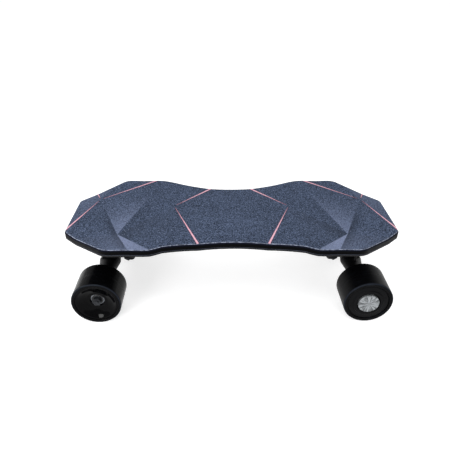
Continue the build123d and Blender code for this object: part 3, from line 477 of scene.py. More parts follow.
def stuff(name, dark, pale, rough, grain, depth, metal, sheen, coat):
    """A finish from two tones, a roughness, a grain's size and depth in mm, and its shine."""
    made = Finish(
        name, Metallic=metal, Roughness=rough, Specular_IOR_Level=sheen, Coat_Weight=coat
    )
    drift, fine = made.noise(DRIFT, 3), made.noise(grain * MM, 2)
    tone = (drift * 0.6 + fine * 0.4).ramp(0.3, 0.7)
    made.feed("Base Color", made.mix(tone, paint(*dark), paint(*pale)))
    made.feed("Roughness", ((drift - 0.5) * 0.25 + (fine - 0.5) * 0.15 + rough).clipped())
    made.emboss(fine, depth * MM)
    return made


# %% Mix the plain finishes
# Slot, name, dark tone, pale tone, roughness, grain, depth, metal, sheen, coat.
PLAIN = [
    ("gasket", "seam_rubber", (46, 50, 58), (62, 67, 78), 0.7, 0.6, 0.05, 0, 0.1, 0),
    ("pan_plastic", "pan_moulding", (12, 12, 13), (20, 20, 22), 0.55, 0.9, 0.12, 0, 0.16, 0),
    ("black_steel", "blacked_steel", (38, 39, 42), (60, 61, 66), 0.35, 0.4, 0.02, 0.6, 0.3, 0),
    (
        "bare_aluminium", "bare_aluminium",
        (150, 152, 156), (186, 188, 192), 0.35, 0.3, 0.02, 1, 0.5, 0,
    ),
    ("cell_wrap", "cell_wrap", (24, 70, 120), (32, 86, 140), 0.35, 1.5, 0.02, 0, 0.5, 0),
    ("nickel", "nickel_strip", (176, 174, 166), (202, 200, 192), 0.3, 0.5, 0.02, 1, 0.5, 0),
    ("tray_plastic", "tray_moulding", (196, 196, 190), (214, 214, 208), 0.5, 0.8, 0.04, 0, 0.5, 0),
    ("board_green", "circuit_board", (12, 60, 36), (20, 78, 46), 0.4, 2.0, 0.05, 0, 0.5, 0.5),
    ("parts_black", "chip_moulding", (22, 22, 24), (40, 40, 43), 0.5, 0.6, 0.03, 0, 0.5, 0),
    ("switch_metal", "switch_ring", (140, 142, 146), (176, 178, 182), 0.28, 0.25, 0.01, 1, 0.5, 0),
    ("button_plastic", "button_moulding", (20, 20, 22), (32, 32, 34), 0.35, 0.7, 0.03, 0, 0.2, 0),
    ("port_plastic", "port_moulding", (18, 18, 20), (30, 30, 33), 0.5, 0.6, 0.04, 0, 0.5, 0),
    ("cap_rubber", "cap_rubber", (20, 20, 22), (32, 32, 34), 0.75, 0.5, 0.06, 0, 0.15, 0),
    ("riser_rubber", "riser_rubber", (10, 10, 11), (20, 20, 22), 0.8, 0.7, 0.08, 0, 0.12, 0),
    ("zinc_steel", "black_zinc", (30, 31, 34), (56, 58, 62), 0.35, 0.35, 0.02, 0.6, 0.2, 0),
    ("cup_urethane", "cup_urethane", (24, 24, 26), (36, 36, 39), 0.5, 0.8, 0.03, 0, 0.5, 0),
    ("brass", "brass_insert", (176, 140, 70), (206, 170, 96), 0.35, 0.4, 0.02, 1, 0.5, 0),
    ("bearing_steel", "bearing_steel", (84, 87, 92), (124, 127, 132), 0.25, 0.2, 0.01, 1, 0.5, 0),
    ("lamination", "stator_steel", (96, 98, 102), (124, 126, 130), 0.45, 0.5, 0.04, 0.9, 0.5, 0),
    ("magnet", "plated_magnet", (150, 152, 156), (178, 180, 184), 0.3, 0.4, 0.01, 1, 0.5, 0),
    ("lead_rubber", "lead_rubber", (12, 12, 13), (22, 22, 24), 0.6, 0.5, 0.05, 0, 0.2, 0),
    ("wheel_core", "glossy_core", (3, 3, 4), (6, 6, 7), 0.06, 2.5, 0.02, 0, 0.045, 0),
    ("motor_black", "motor_anodised", (6, 6, 7), (12, 13, 15), 0.33, 0.4, 0.03, 0, 0.045, 0),
    (
        "bushing_urethane", "bushing_urethane",
        (12, 12, 13), (22, 22, 24), 0.4, 1.0, 0.03, 0, 0.15, 0,
    ),
]
finishes.update({slot: stuff(*row) for slot, *row in PLAIN})
print("finishes so far:", len(finishes))

# %% [markdown]
# ## Cast and painted trucks
#
# A truck is cast in sand or a coarse die and then powder coated. The coat is
# thick enough to keep a slight orange peel, two sizes of bump over each other,
# and it is a satin black that only lights up along its rounded corners.

# %% Mix the trucks' finish
truck_black = Finish("cast_powder_coat", Roughness=0.45, Specular_IOR_Level=0.12)
peel = truck_black.noise(2.2 * MM, 2) * 0.7 + truck_black.noise(0.6 * MM, 2) * 0.3
handled = truck_black.noise(18 * MM, 4)
truck_black.feed("Base Color", truck_black.mix(handled, paint(7, 7, 8), paint(15, 15, 17)))
truck_black.feed("Roughness", handled * 0.25 + 0.32)
truck_black.emboss(peel, 0.18 * MM, 0.8)
finishes["truck_black"] = truck_black
print("truck nodes:", len(truck_black.tree.nodes))

# %% [markdown]
# ## Wheel urethane
#
# A skateboard's tyre is cast urethane. Rolling leaves faint rings on its tread,
# and a painted highlight makes its outer shoulder paler. The rings are noise
# stretched along the tread, and the shoulder is found by two distances: how far
# a place is from the axle, and how far out it is from the board's middle. So the
# wheels' size and place are read from the model first.

# %% Read where the wheels are
tyre_low, tyre_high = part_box("tyre_rear_right")
AXLE_X, AXLE_Z = (tyre_low.x + tyre_high.x) / 2, (tyre_low.z + tyre_high.z) / 2
WHEEL_RADIUS = (tyre_high.z - tyre_low.z) / 2 / MM
WHEEL_INSIDE, WHEEL_FACE = tyre_low.y / MM, tyre_high.y / MM
SIDES = {"left": -1, "right": 1}
AXLE = {"front": (-AXLE_X / MM, 0, AXLE_Z / MM), "rear": (AXLE_X / MM, 0, AXLE_Z / MM)}
print("rear axle at x, z in mm:", round(AXLE_X / MM, 2), round(AXLE_Z / MM, 2))
print("wheel radius, inner side and face in mm:")
print([round(v, 2) for v in (WHEEL_RADIUS, WHEEL_INSIDE, WHEEL_FACE)])

# %% Mix the tyres' finishes
SHOULDER = 2.6
ALONG_TREAD = (0.25, 4.0, 0.25)
CLEAN_TREAD, WORN_TREAD_AND_HIGHLIGHT = paint(4, 4, 5), paint(40, 45, 54)


def urethane(name, rough, scuffed):
    """Cast urethane, with faint rings where it has rolled and a painted highlight on the outer
    shoulders.
    """
    made = Finish(name, Roughness=rough, Specular_IOR_Level=0.04)
    x, y, z = made.parts()
    out = abs(y) * (1 / MM)
    reach = made.reach(abs(x) - AXLE_X, z - AXLE_Z) * (1 / MM)
    rings = made.noise(4 * MM, 4, made.stretched(ALONG_TREAD))
    # Painted highlight: the outer shoulder is painted paler.
    shoulder = reach.ramp(WHEEL_RADIUS - SHOULDER, WHEEL_RADIUS - 0.4)
    shoulder = shoulder * out.ramp(WHEEL_FACE - 2.2, WHEEL_FACE - 0.5)
    scuffs_and_highlight = (rings.ramp(0.5, 0.8) * scuffed + shoulder * (rings * 0.6 + 0.35)).clipped()
    made.feed("Base Color", made.mix(scuffs_and_highlight, CLEAN_TREAD, WORN_TREAD_AND_HIGHLIGHT))
    made.feed("Roughness", scuffs_and_highlight * 0.5 + (rings - 0.5) * 0.1 + rough)
    made.emboss(rings * 0.4 + made.noise(1.2 * MM) * 0.6, 0.025 * MM)
    return made


tyre_finishes = {
    "front": urethane("front_wheel_urethane", 0.2, 0.12),
    "rear": urethane("rear_wheel_urethane", 0.36, 0.25),
}
finishes["wheel_urethane"] = tyre_finishes["front"]
print("tyre finishes:", sorted(tyre_finishes))

# %% [markdown]
# ## The brushed motor cap
#
# The silver disc in the rear wheels is brushed outwards from its middle, so
# light breaks into spokes on it. Those spokes are painted into its colour as a
# painted reflection, over the brushing's own fine hairlines. The pattern needs
# the angle round the axle: two coordinates, measured from the axle, go into an
# arctangent. The cosine and sine of that angle lead noise round a ring, so that
# its streaks meet without a seam, and the radius, stretched, breaks them up on
# their way out.

# %% Mix the cap's finish
RING_SIZE, RADIUS_STRETCH = 2.1, 30.0
CAP_DARK, CAP_REFLECTION_AND_GRAIN = paint(40, 43, 45), paint(162, 166, 169)

cap_silver = Finish("brushed_cap", Metallic=0.6, Roughness=0.5)
x, _, z = cap_silver.parts()
x, z = x - AXLE_X, z - AXLE_Z
angle = cap_silver.maths("ARCTAN2", z, x)
ring = {
    0: cap_silver.maths("COSINE", angle) * RING_SIZE,
    1: cap_silver.maths("SINE", angle) * RING_SIZE,
    2: cap_silver.reach(x, z) * RADIUS_STRETCH,
}
polar = cap_silver.add("ShaderNodeCombineXYZ", {}, ring)
streak, hairline = cap_silver.noise(0.32, 5, polar), cap_silver.noise(0.06, 2, polar)
# Painted reflection: the wide streaks are light painted into the colour; the hairlines are the
# brushing's grain.
reflection_and_grain = (streak.ramp(0.4, 0.6) * 0.7 + hairline.ramp(0.3, 0.7) * 0.35).clipped()
cap_silver.feed("Base Color", cap_silver.mix(reflection_and_grain, CAP_DARK, CAP_REFLECTION_AND_GRAIN))
cap_silver.feed("Roughness", 0.62 - reflection_and_grain * 0.25)
cap_silver.emboss(hairline, 0.05 * MM)
finishes["motor_silver"] = cap_silver
print("cap nodes:", len(cap_silver.tree.nodes))

# %% [markdown]
# ## The rim's finish
#
# Under the sheet the deck is a black composite slab. Its bevel is painted dark
# blue where it faces up, a painted sheen, and a painted highlight runs along the
# upper edge of the bevel as a thin pale line, broken into dots. The line follows
# the edge, so the rim's mesh will carry an attribute, 1 along the top of the
# bevel and 0 at its foot.

# %% Mix the rim's finish
RIM_BLACK, RIM_BLUE_SHEEN, RIM_HIGHLIGHT = paint(2, 2, 3), paint(10, 13, 26), paint(140, 148, 166)

rim = Finish("rim_composite", Roughness=0.4, Specular_IOR_Level=0.03)
worn_and_lit = rim.add("ShaderNodeAttribute", {"attribute_name": "worn_and_lit"}, {}, out="Fac")
_, _, facing_up = rim.parts(rim.add("ShaderNodeTexCoord", {}, {}, out="Normal"))
dots = rim.noise(3.5 * MM, 3).ramp(0.42, 0.6)
# Painted highlight: a thin pale line along the top of the bevel, broken into dots.
line = worn_and_lit.ramp(0.6, 0.8) * (dots * 0.7 + 0.3)
# Painted sheen: faces that look up are painted dark blue, and the sides stay black.
bevel = rim.mix(facing_up.ramp(0.25, 0.5), RIM_BLACK, RIM_BLUE_SHEEN)
rim.feed("Base Color", rim.mix(line, bevel, RIM_HIGHLIGHT))
rim.feed("Roughness", rim.noise(10 * MM, 3) * 0.25 + 0.3)
rim.emboss(rim.noise(1.6 * MM, 3), 0.1 * MM, 0.6)
finishes["deck_composite"] = rim
print("finishes:", len(finishes))

# %% [markdown]
# ## Placing a piece
#
# A new piece has its place in its mesh and its object at the origin, like the
# model's own nodes. One function names it, gives it its finish, ties it to its
# body and says which measured nodes it stands for.


# %% Place a piece
def smooth(mesh, corner):
    """Round faces shade smoothly, and edges sharper than the corner, in degrees, stay crisp."""
    mesh.polygons.foreach_set("use_smooth", [True] * len(mesh.polygons))
    mesh.set_sharp_from_angle(angle=radians(corner))
    return mesh


def place(name, mesh, body, slot_name, *stands_for, finish=None):
    """A mesh as a piece that rides on its body, or that stays where it is when it is given none."""
    piece = bpy.data.objects.new(name, mesh)
    bpy.context.scene.collection.objects.link(piece)
    mesh.materials.clear()
    mesh.materials.append((finish or finishes[slot_name]).material)
    mesh.polygons.foreach_set("material_index", [0] * len(mesh.polygons))
    if body:
        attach(piece, body)
    if stands_for:
        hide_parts(*stands_for)
    print(f"{name}: {len(mesh.polygons)} faces")
    return piece


# %% [markdown]
# ## The bevelled deck slab
#
# The measured slab has a square upper edge. A copy of it is welded from loose
# triangles into whole faces, so that its rim is one clean chain of edges, and
# then that chain is bevelled. Bevelling a real chain of edges keeps the facets'
# folds exactly where they are.

# %% Weld a node's triangles
WELD = 0.002 * MM
FLAT = radians(0.4)


def welded(node):
    """A node's surface as a mesh to edit, with its loose triangles joined."""
    made = bmesh.new()
    made.from_mesh(nodes[node].data)
    bmesh.ops.remove_doubles(made, verts=made.verts, dist=WELD)
    return made


slab = welded("deck_plate")
bmesh.ops.dissolve_limit(slab, angle_limit=FLAT, verts=slab.verts, edges=slab.edges)
print("slab faces:", len(slab.faces))

# %% Bevel the slab
BEVEL = 2.4 * MM
# How far up a face looks, from 0 for an upright one to 1 for a level one.
LEVEL, UPRIGHT, SHEET_SIDE = 0.8, 0.2, 0.93


def is_rim(edge):
    """True where a face that looks up meets an upright one, on its upper side."""
    if len(edge.link_faces) != 2:
        return False
    up, side = sorted(edge.link_faces, key=lambda face: -face.normal.z)
    return up.normal.z > LEVEL and abs(side.normal.z) < UPRIGHT


rim_edges = [edge for edge in slab.edges if is_rim(edge)]
print("rim edges to bevel:", len(rim_edges))
bmesh.ops.bevel(
    slab, geom=rim_edges, offset=BEVEL, offset_type="OFFSET",
    segments=1, affect="EDGES", clamp_overlap=False,
)
# The attribute marks the top of the bevel, where the painted highlight goes.
layer = slab.verts.layers.float.new("worn_and_lit")
for vert in slab.verts:
    ups = [face.normal.z for face in vert.link_faces]
    vert[layer] = 1.0 if max(ups) > SHEET_SIDE and min(ups) > UPRIGHT else 0.0
slab_mesh = bpy.data.meshes.new("deck_slab")
slab.to_mesh(slab_mesh)
slab.free()
place("deck_slab", smooth(slab_mesh, 25), "deck", "deck_composite", "deck_plate")

# %% [markdown]
# ## Recipes made of Geometry Nodes
#
# Grit, screws and turned parts all repeat one simple shape, so each is a
# Geometry Nodes tree with named inputs. A recipe is a board whose result is
# taken out as a plain mesh: the tree runs once on a start mesh, the evaluated
# result is copied, and the modifier goes away with its holder.


# %% A recipe
class Recipe(Board):
    """A Geometry Nodes tree that is run once, to a plain mesh."""

    def __init__(self, name):
        super().__init__(bpy.data.node_groups.new(name, "GeometryNodeTree"))
        self.asked = {}
        self.sockets = self.tree.interface
        self.sockets.new_socket("Start", in_out="INPUT", socket_type="NodeSocketGeometry")
        self.sockets.new_socket("Made", in_out="OUTPUT", socket_type="NodeSocketGeometry")
        self.inside = self.tree.nodes.new("NodeGroupInput")
        self.start = Wire(self, self.inside.outputs["Start"])

    def ask(self, name, kind):
        """A named input of the recipe."""
        socket = self.sockets.new_socket(name, in_out="INPUT", socket_type="NodeSocket" + kind)
        self.asked[name] = socket.identifier
        return Wire(self, self.inside.outputs[name])

    def answer(self, shape):
        """The recipe's end: copies made real, in the finish that is asked for."""
        real = self.add("GeometryNodeRealizeInstances", {}, {"Geometry": shape})
        inputs = {"Geometry": real, "Material": self.ask("Finish", "Material")}
        done = self.add("GeometryNodeSetMaterial", {}, inputs)
        self.tree.links.new(done.socket, self.tree.nodes.new("NodeGroupOutput").inputs["Made"])

    def make(self, name, start, finish, **values):
        """The mesh that the recipe makes of a start mesh, with these values put in."""
        holder = bpy.data.objects.new(name + "_holder", start)
        bpy.context.scene.collection.objects.link(holder)
        modifier = holder.modifiers.new("recipe", "NODES")
        modifier.node_group = self.tree
        modifier[self.asked["Finish"]] = finish.material
        for asked, value in values.items():
            modifier[self.asked[asked]] = value
        graph = bpy.context.evaluated_depsgraph_get()
        made = bpy.data.meshes.new_from_object(holder.evaluated_get(graph))
        made.name = name
        holder.modifiers.remove(modifier)
        bpy.data.objects.remove(holder)
        return made


# %% [markdown]
# ## Loose crystals of grit
#
# From near by, the sheet isn't a print of grit but thousands of grains that
# stand up from it. Points are scattered over the sheet's upper faces with a
# fixed seed, a tiny four-sided pyramid is put on each with its own turn and
# size, and all of them are made real. The grains keep off the stripes, because
# the sheet has slots there.

# %% The grit recipe
TIPPED = 0.5
SMALLEST, LARGEST = 0.5, 1.25
POINTED = 0.9

scatter = Recipe("grit")
density, grain_size = scatter.ask("Density", "Float"), scatter.ask("Grain", "Float")
normal = scatter.add("GeometryNodeInputNormal", {}, {})
upwards = scatter.add("ShaderNodeSeparateXYZ", {}, {0: normal}, out=2) > LEVEL
points = scatter.add(
    "GeometryNodeDistributePointsOnFaces", {},
    {"Mesh": scatter.start, "Selection": upwards, "Density": density, "Seed": 7},
)
crystal = scatter.add(
    "GeometryNodeMeshCone", {},
    {"Vertices": 4, "Radius Top": 0.0, "Radius Bottom": grain_size, "Depth": grain_size * POINTED},
)
turn = scatter.add(
    "FunctionNodeRandomValue", {"data_type": "FLOAT_VECTOR"},
    {0: (-TIPPED, -TIPPED, 0.0), 1: (TIPPED, TIPPED, tau), "Seed": 11},
)
bigger = scatter.add(
    "FunctionNodeRandomValue", {"data_type": "FLOAT"},
    {2: SMALLEST, 3: LARGEST, "Seed": 13}, out=1,
)
grains = scatter.add(
    "GeometryNodeInstanceOnPoints", {},
    {"Points": points, "Instance": crystal, "Rotation": turn, "Scale": bigger},
)
scatter.answer(grains)
print("grit recipe nodes:", len(scatter.tree.nodes))

# %% Scatter the grit
CRYSTAL = 0.34 * MM
CRYSTALS_TO_A_SQUARE_METRE = 110000.0
CRYSTAL_PALE = paint(104, 114, 136)

crystals = Finish("grit_crystals", Roughness=0.5, Specular_IOR_Level=0.2)
# The crystals take the sheet's colour, with its painted light, painted shade and painted glints.
colour, _, _ = grip_colour(crystals)
each = crystals.cells(2.2 * MM)
crystals.feed("Base Color", crystals.mix(each.ramp(0.5, 1.0) * 0.35, colour, CRYSTAL_PALE))
crystals.feed("Roughness", 0.75 - each * 0.45)

sheet = nodes["grip_sheet"].data.copy()
grit_mesh = scatter.make(
    "grit", sheet, crystals, Density=CRYSTALS_TO_A_SQUARE_METRE, Grain=CRYSTAL
)
place("grit_crystals", grit_mesh, "deck", "grip", finish=crystals)

# %% [markdown]
# ## Turned parts
#
# Tyres, wheel cores, bearings, motor covers and bushings are all solids of
# revolution: half a section swept once round an axle. The recipe takes the
# section as a loop of edges, sweeps it round a small circle with Curve to Mesh,
# and stands the result up along Y. Each corner of a section has its own
# rounding, because no moulded or machined corner is dead sharp, and that
# rounding is what catches the light.

# %% The turning recipe
GUIDE_RADIUS = 10 * MM

lathe = Recipe("turned")
steps = lathe.ask("Steps", "Int")
section = lathe.add("GeometryNodeMeshToCurve", {}, {"Mesh": lathe.start})
guide = {"Resolution": steps, "Radius": GUIDE_RADIUS}
circle = lathe.add("GeometryNodeCurvePrimitiveCircle", {}, guide)
swept = {"Curve": circle, "Profile Curve": section}
swept = lathe.add("GeometryNodeCurveToMesh", {}, swept)
stood = {"Geometry": swept, "Rotation": (pi / 2, 0, 0)}
lathe.answer(lathe.add("GeometryNodeTransform", {}, stood))
print("turning recipe nodes:", len(lathe.tree.nodes))


# %% Turn a section
def softened(corners, side, steps):
    """A loop of (radius, along, rounding) corners, in mm, rounded, for that side of the board."""
    corners = [(Vector((reach, along * side)), soft) for reach, along, soft in corners]
    loop = []
    for i, (here, soft) in enumerate(corners):
        if not soft:
            loop.append(here)
            continue
        before, after = corners[i - 1][0], corners[(i + 1) % len(corners)][0]
        back, ahead = (before - here).normalized() * soft, (after - here).normalized() * soft
        shares = [s / steps for s in range(steps + 1)]
        loop += [here + back * (1 - share) ** 2 + ahead * share ** 2 for share in shares]
    return loop


def turned(name, finish, loops, centre, pointing=(0, 1, 0), round_steps=96):
    """Loops of a section swept about an axle through centre, in mm, that points that way."""
    places, edges = [], []
    for loop in loops:
        area = sum(a.x * b.y - b.x * a.y for a, b in zip(loop, loop[1:] + loop[:1]))
        loop = loop if area > 0 else loop[::-1]
        first = len(places)
        places += [(p.x * MM - GUIDE_RADIUS, p.y * MM, 0) for p in loop]
        edges += [(first + i, first + (i + 1) % len(loop)) for i in range(len(loop))]
    start = bpy.data.meshes.new(name + "_section")
    start.from_pydata(places, edges, [])
    made = lathe.make(name, start, finish, Steps=round_steps)
    stand = Vector((0, 1, 0)).rotation_difference(Vector(pointing)).to_matrix().to_4x4()
    made.transform(Matrix.Translation(Vector(centre) * MM) @ stand)
    return smooth(made, 30)


# %% [markdown]
# ## Tyres and cores
#
# A front wheel is a glossy black core with a urethane tyre cast round it. The
# tyre has a rounded shoulder at each side and a fine parting line round its
# middle, where the two halves of the mould met. The core is dished, down to the
# seat of its bearing. A rear tyre sits on the motor's can, so only its bore
# differs. Sections are written for the right side, and mirrored for the left by
# changing the sign of every `along`.

# %% Cast the tyres
# The parting line's depth, and how far its foot, its top and its support row lie from the middle.
SEAM_DEPTH, SEAM_FOOT, SEAM_TOP, SEAM_ROW = 0.12, 0.25, 0.5, 1.1
# A row of faces beside each shoulder keeps the tread's shading flat up to it.
SHOULDER_ROW = SHOULDER + 0.6
# The flat outer face is sunk a little, inside a narrow raised ring.
FACE_RING, FACE_SUNK, FACE_STEP = 4.6, 0.35, 0.3
FIT = 0.05
WHEEL_STEPS = 128


def tyre_section(bore):
    """A tyre's section, from its bore at the inner side round to its bore at the face."""
    seam, tread, face = (WHEEL_INSIDE + WHEEL_FACE) / 2, WHEEL_RADIUS, WHEEL_FACE
    inner = [
        (bore, WHEEL_INSIDE, 0.5),
        (tread, WHEEL_INSIDE, SHOULDER),
        (tread, WHEEL_INSIDE + SHOULDER_ROW, 0),
        (tread, seam - SEAM_ROW, 0),
        (tread, seam - SEAM_TOP, 0),
        (tread - SEAM_DEPTH, seam - SEAM_FOOT, 0),
    ]
    outer = [
        (tread - SEAM_DEPTH, seam + SEAM_FOOT, 0),
        (tread, seam + SEAM_TOP, 0),
        (tread, seam + SEAM_ROW, 0),
        (tread, face - SHOULDER_ROW, 0),
        (tread, face, SHOULDER),
        (tread - FACE_RING, face, 0.3),
        (tread - FACE_RING - FACE_STEP, face - FACE_SUNK, 0.15),
        (bore, face - FACE_SUNK, 0.3),
    ]
    return inner + outer


for end, axle in AXLE.items():
    for hand, side in SIDES.items():
        wheel = f"{end}_{hand}"
        low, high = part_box("core_" + wheel if end == "front" else "motor_can_" + hand)
        bore = (high.z - low.z) / 2 / MM + FIT
        loop = softened(tyre_section(bore), side, 6)
        finish = tyre_finishes[end]
        mesh = turned(f"tyre_{wheel}_mesh", finish, [loop], axle, round_steps=WHEEL_STEPS)
        stood_for = "tyre_" + wheel
        place(wheel + "_tyre", mesh, "wheel_" + wheel, "wheel_urethane", stood_for, finish=finish)

# %% Turn the front cores
# From the tyre's bore over the outer dish and the bearing seats to the inner dish.
CORE_SECTION = [
    (34.0, 63.5, 0.4), (34.0, 114.5, 0.5), (31.5, 114.5, 0.9), (25.0, 110.0, 3.0),
    (16.5, 106.5, 1.5), (11.9, 106.5, 0.5), (11.1, 105.0, 0), (11.06, 97.0, 0),
    (9.0, 97.0, 0), (9.0, 75.2, 0), (11.06, 75.2, 0), (11.06, 67.2, 0.3),
    (15.0, 67.2, 0.5), (25.0, 71.0, 2.0), (31.5, 63.5, 0.8),
]
for hand, side in SIDES.items():
    loop = softened(CORE_SECTION, side, 5)
    glossy = finishes["wheel_core"]
    mesh = turned("core_mesh", glossy, [loop], AXLE["front"], round_steps=WHEEL_STEPS)
    place(f"front_{hand}_core", mesh, "wheel_front_" + hand, "wheel_core", "core_front_" + hand)

# %% [markdown]
# ## Bearings
#
# Each front wheel runs on two ball bearings. What shows is a polished outer
# ring, a black shield pressed with a shallow groove, and a polished inner ring.
# The three are separate loops of one section, and the faces between the rings
# are given the shield's finish.

# %% Turn the bearings
BEARINGS = (68.2, 75.2), (97.0, 104.0)
SHIELD_FROM, SHIELD_TO = 6.45, 9.45


def bearing_loops(start, end, side):
    """The outer ring, the inner ring and the shield of a bearing between two places, in mm."""
    outer = [(9.5, start, 0.2), (11.0, start, 0.4), (11.0, end, 0.4), (9.5, end, 0.2)]
    inner = [(4.06, start, 0.2), (6.4, start, 0.3), (6.4, end, 0.3), (4.06, end, 0.2)]
    shield = [
        (6.5, start + 0.5, 0), (9.4, start + 0.5, 0), (9.4, end - 0.5, 0.2), (8.7, end - 0.35, 0.2),
        (8.1, end - 0.75, 0.2), (7.4, end - 0.35, 0.2), (6.5, end - 0.6, 0.1),
    ]
    return [softened(loop, side, 3) for loop in (outer, inner, shield)]


for hand, side in SIDES.items():
    loops = [loop for start, end in BEARINGS for loop in bearing_loops(start, end, side)]
    steel, body = finishes["bearing_steel"], "wheel_front_" + hand
    mesh = turned("bearing_mesh", steel, loops, AXLE["front"], round_steps=72)
    place(f"front_{hand}_bearings", mesh, body, "bearing_steel", "bearings_front_" + hand)
    mesh.materials.append(finishes["parts_black"].material)
    for face in mesh.polygons:
        middle = face.center - Vector(AXLE["front"]) * MM
        if SHIELD_FROM * MM < (middle.x ** 2 + middle.z ** 2) ** 0.5 < SHIELD_TO * MM:
            face.material_index = 1

# %% [markdown]
# ## The motor's face
#
# The hub motor closes with a black anodised cover: a flat outer ring, a raised
# ring inside it, and a groove round the silver cap. Its section is the measured
# one with its corners rounded as a lathe tool leaves them.

# %% Turn the motor covers and caps
COVER_SECTION = [
    (14.06, 102.0, 0), (17.2, 102.0, 0), (17.2, 109.0, 0), (28.7, 109.0, 0), (28.7, 112.0, 0),
    (33.4, 112.0, 0.2), (33.4, 114.0, 0.5), (31.9, 115.0, 0.5), (24.8, 115.4, 0.4),
    (24.0, 116.8, 0.5), (19.3, 116.8, 0.5), (18.8, 116.0, 0.3), (18.8, 112.5, 0.4),
    (14.06, 112.5, 0),
]
CAP_SECTION = [
    (0.05, 112.5, 0), (17.0, 112.5, 0), (17.0, 118.0, 0.5), (16.0, 118.8, 0.6),
    (14.6, 118.55, 0.4), (0.05, 119.0, 0),
]
for hand, side in SIDES.items():
    body, anodised = "wheel_rear_" + hand, finishes["motor_black"]
    loop = softened(COVER_SECTION, side, 4)
    mesh = turned("cover_mesh", anodised, [loop], AXLE["rear"], round_steps=WHEEL_STEPS)
    place(f"rear_{hand}_cover", mesh, body, "motor_black", "motor_cover_" + hand)
    mesh = turned("cap_mesh", cap_silver, [softened(CAP_SECTION, side, 4)], AXLE["rear"])
    place(f"rear_{hand}_cap", mesh, body, "motor_silver", "motor_cap_" + hand)

# %% [markdown]
# ## Bushings
#
# Two urethane bushings sit on each kingpin, one on either side of the hanger's
# ring. When the truck steers, each is squeezed on one side. Here each bushing is
# given no body and stays where it stands at rest; the places of its washer end
# and its ring end are worked out, but nothing uses them.

# %% Turn the bushings
STEER = radians(30)
RING_CENTRE = (177.0, 0, 66.0)
HALF_RING = 3.5
# How far each bushing reaches from the ring: upwards is against the kingpin's way.
BUSHINGS = {"top": -12.0, "low": 10.0}
BUSHING_RADIUS, BUSHING_BORE, BUSHING_WAIST, BUSHING_CHAMFER = 11.5, 4.85, 1.2, 0.5
BUSHING_ROWS = 8


def bushing_section(ring_end, washer_end):
    """A barrel with a drawn-in waist, from its ring end to its washer end, in mm."""
    out, bore = [], []
    for i in range(BUSHING_ROWS + 1):
        share = i / BUSHING_ROWS
        along = ring_end + (washer_end - ring_end) * share
        drawn_in = BUSHING_WAIST * sin(pi * share)
        drawn_in += BUSHING_CHAMFER if i in (0, BUSHING_ROWS) else 0
        out.append(Vector((BUSHING_RADIUS - drawn_in, along)))
        bore.append(Vector((BUSHING_BORE, along)))
    return out + bore[::-1]


for end, way in (("front", -1), ("rear", 1)):
    kingpin = Vector((way * sin(STEER), 0, -cos(STEER)))
    centre = Vector((way * RING_CENTRE[0], 0, RING_CENTRE[2]))
    for which, height in BUSHINGS.items():
        ring_end = HALF_RING if height > 0 else -HALF_RING
        loop, soft = bushing_section(ring_end, ring_end + height), finishes["bushing_urethane"]
        mesh = turned("bushing_mesh", soft, [loop], centre, kingpin, 64)
        stood_for = ("bushings_" + end,) if which == "top" else ()
        piece = place(f"{end}_{which}_bushing", mesh, None, "bushing_urethane", *stood_for)
        fixed, moved = (centre + kingpin * d for d in (ring_end + height, ring_end))
        fixed * MM
        moved * MM
        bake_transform(piece)

# %% [markdown]
# ## Screws
#
# Sixteen screws hold the pan and eight bolts hold the trucks. All have a round
# head with a hexagonal socket. The recipe cuts a six-sided prism out of a
# tapered head once, and puts a copy of it at each point. The points are read
# from the measured screws: the lowest middle of each loose solid.

# %% The screw recipe
TAPER, SOCKET_RISE = 0.8, 0.45

screws = Recipe("socket_screws")
head, tall, key = (screws.ask(name, "Float") for name in ("Head", "Tall", "Key"))
drum = screws.add(
    "GeometryNodeMeshCone", {},
    {"Vertices": 28, "Radius Top": head * TAPER, "Radius Bottom": head, "Depth": tall},
)
prism = {"Vertices": 6, "Radius": key, "Depth": tall}
socket = screws.add("GeometryNodeMeshCylinder", {}, prism)
raised = screws.add("ShaderNodeCombineXYZ", {}, {2: tall * SOCKET_RISE})
socket = screws.add("GeometryNodeTransform", {}, {"Geometry": socket, "Translation": raised})
exact = {"operation": "DIFFERENCE", "solver": "EXACT"}
cut = screws.add("GeometryNodeMeshBoolean", exact, {"Mesh 1": drum, "Mesh 2": socket})
spots = screws.add("GeometryNodeMeshToPoints", {}, {"Mesh": screws.start})
fitted = {"Points": spots, "Instance": cut, "Rotation": (pi, 0, 0)}
screws.answer(screws.add("GeometryNodeInstanceOnPoints", {}, fitted))
print("screw recipe nodes:", len(screws.tree.nodes))


# %% Find the screws
def islands(node):
    """Each loose solid of a node, as its lowest and highest corner."""
    made = welded(node)
    left, found = set(made.verts), []
    while left:
        stack, group = [left.pop()], []
        while stack:
            vert = stack.pop()
            group.append(vert.co.copy())
            for edge in vert.link_edges:
                other = edge.other_vert(vert)
                if other in left:
                    left.remove(other)
                    stack.append(other)
        found.append((Vector(map(min, *group)), Vector(map(max, *group))))
    made.free()
    return sorted(found, key=lambda box: tuple(box[0]))


# %% Fit the screws
def fit_screws(name, node, slot_name, head, tall, key):
    """Heads of that radius and height, with a key of that radius, in mm, at a node's solids."""
    spots = [
        ((low.x + high.x) / 2, (low.y + high.y) / 2, low.z + tall * MM / 2)
        for low, high in islands(node)
    ]
    start = bpy.data.meshes.new(name + "_spots")
    start.from_pydata(spots, [], [])
    sizes = {"Head": head * MM, "Tall": tall * MM, "Key": key * MM}
    mesh = screws.make(name, start, finishes[slot_name], **sizes)
    place(name, smooth(mesh, 40), "deck", slot_name, node)
    print(name, "fitted at", len(spots), "places")


fit_screws("pan_screw_heads", "pan_screws", "black_steel", head=3.6, tall=2.0, key=1.5)
fit_screws("truck_bolt_heads", "truck_bolts", "black_steel", head=4.6, tall=3.6, key=2.2)
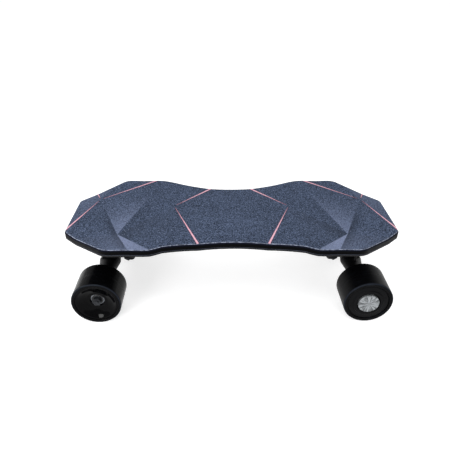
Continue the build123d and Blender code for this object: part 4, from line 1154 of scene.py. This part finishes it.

# %% [markdown]
# ## Motor leads
#
# Two soft leads leave the rear hanger, loop up under the deck and go into
# glands in the pan. A smooth curve through a few control points is how such a
# lead lies. It crosses the steering joint, but its mesh is given no body here
# and stays where it lies at rest.

# %% Lay the leads
LEAD = 4.8 * MM
LEAD_ROUTE = [
    (139.0, 19.0, 109.4), (139.0, 19.0, 94.0), (142.5, 19.3, 87.0), (155.0, 20.0, 82.5),
    (174.0, 21.0, 82.0), (205.0, 21.5, 81.0), (220.0, 18.5, 68.0), (221.0, 18.0, 55.0),
    (221.0, 18.0, 49.0),
]


def lead_curve(name, side, thick):
    """A lead as a mesh, or only its middle line when it has no thickness."""
    curve = bpy.data.curves.new(name, "CURVE")
    curve.dimensions, curve.resolution_u = "3D", 10
    curve.bevel_depth, curve.bevel_resolution, curve.use_fill_caps = thick / 2, 5, True
    spline = curve.splines.new("NURBS")
    spline.points.add(len(LEAD_ROUTE) - 1)
    for point, (x, y, z) in zip(spline.points, LEAD_ROUTE):
        point.co = (x * MM, side * y * MM, z * MM, 1)
    spline.order_u, spline.use_endpoint_u = 3, True
    holder = bpy.data.objects.new(name, curve)
    made = bpy.data.meshes.new_from_object(holder)
    bpy.data.objects.remove(holder)
    return made


for hand, side in SIDES.items():
    line = [vert.co.copy() for vert in lead_curve("lead_line", side, 0).vertices]
    length = sum((b - a).length for a, b in zip(line, line[1:]))
    mesh = smooth(lead_curve(f"lead_{hand}_mesh", side, LEAD), 60)
    stood_for = ("motor_leads",) if side < 0 else ()
    piece = place(f"motor_lead_{hand}", mesh, None, "lead_rubber", *stood_for)
    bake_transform(piece)
    print(piece.name, "length in mm:", round(length / MM, 1))

# %% [markdown]
# ## The model's own nodes
#
# Every node that still shows keeps its measured shape and takes the finish of
# its slot. Inner pieces, such as cells and stators, are treated the same way,
# because a cover may be taken off.

# %% Hand out the finishes
for node in nodes.values():
    for slot in node.material_slots:
        slot.material = finishes[slot.material.name.split(".")[0]].material
print("nodes still shown:", sum(not node.hide_render for node in nodes.values()))

# %% [markdown]
# ## The dressed board's size
#
# The dressed board must stay as large as the measured one. The box round every
# piece that shows, leaving out the floor, is found here.

# %% Find the dressed board's box
low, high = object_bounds()
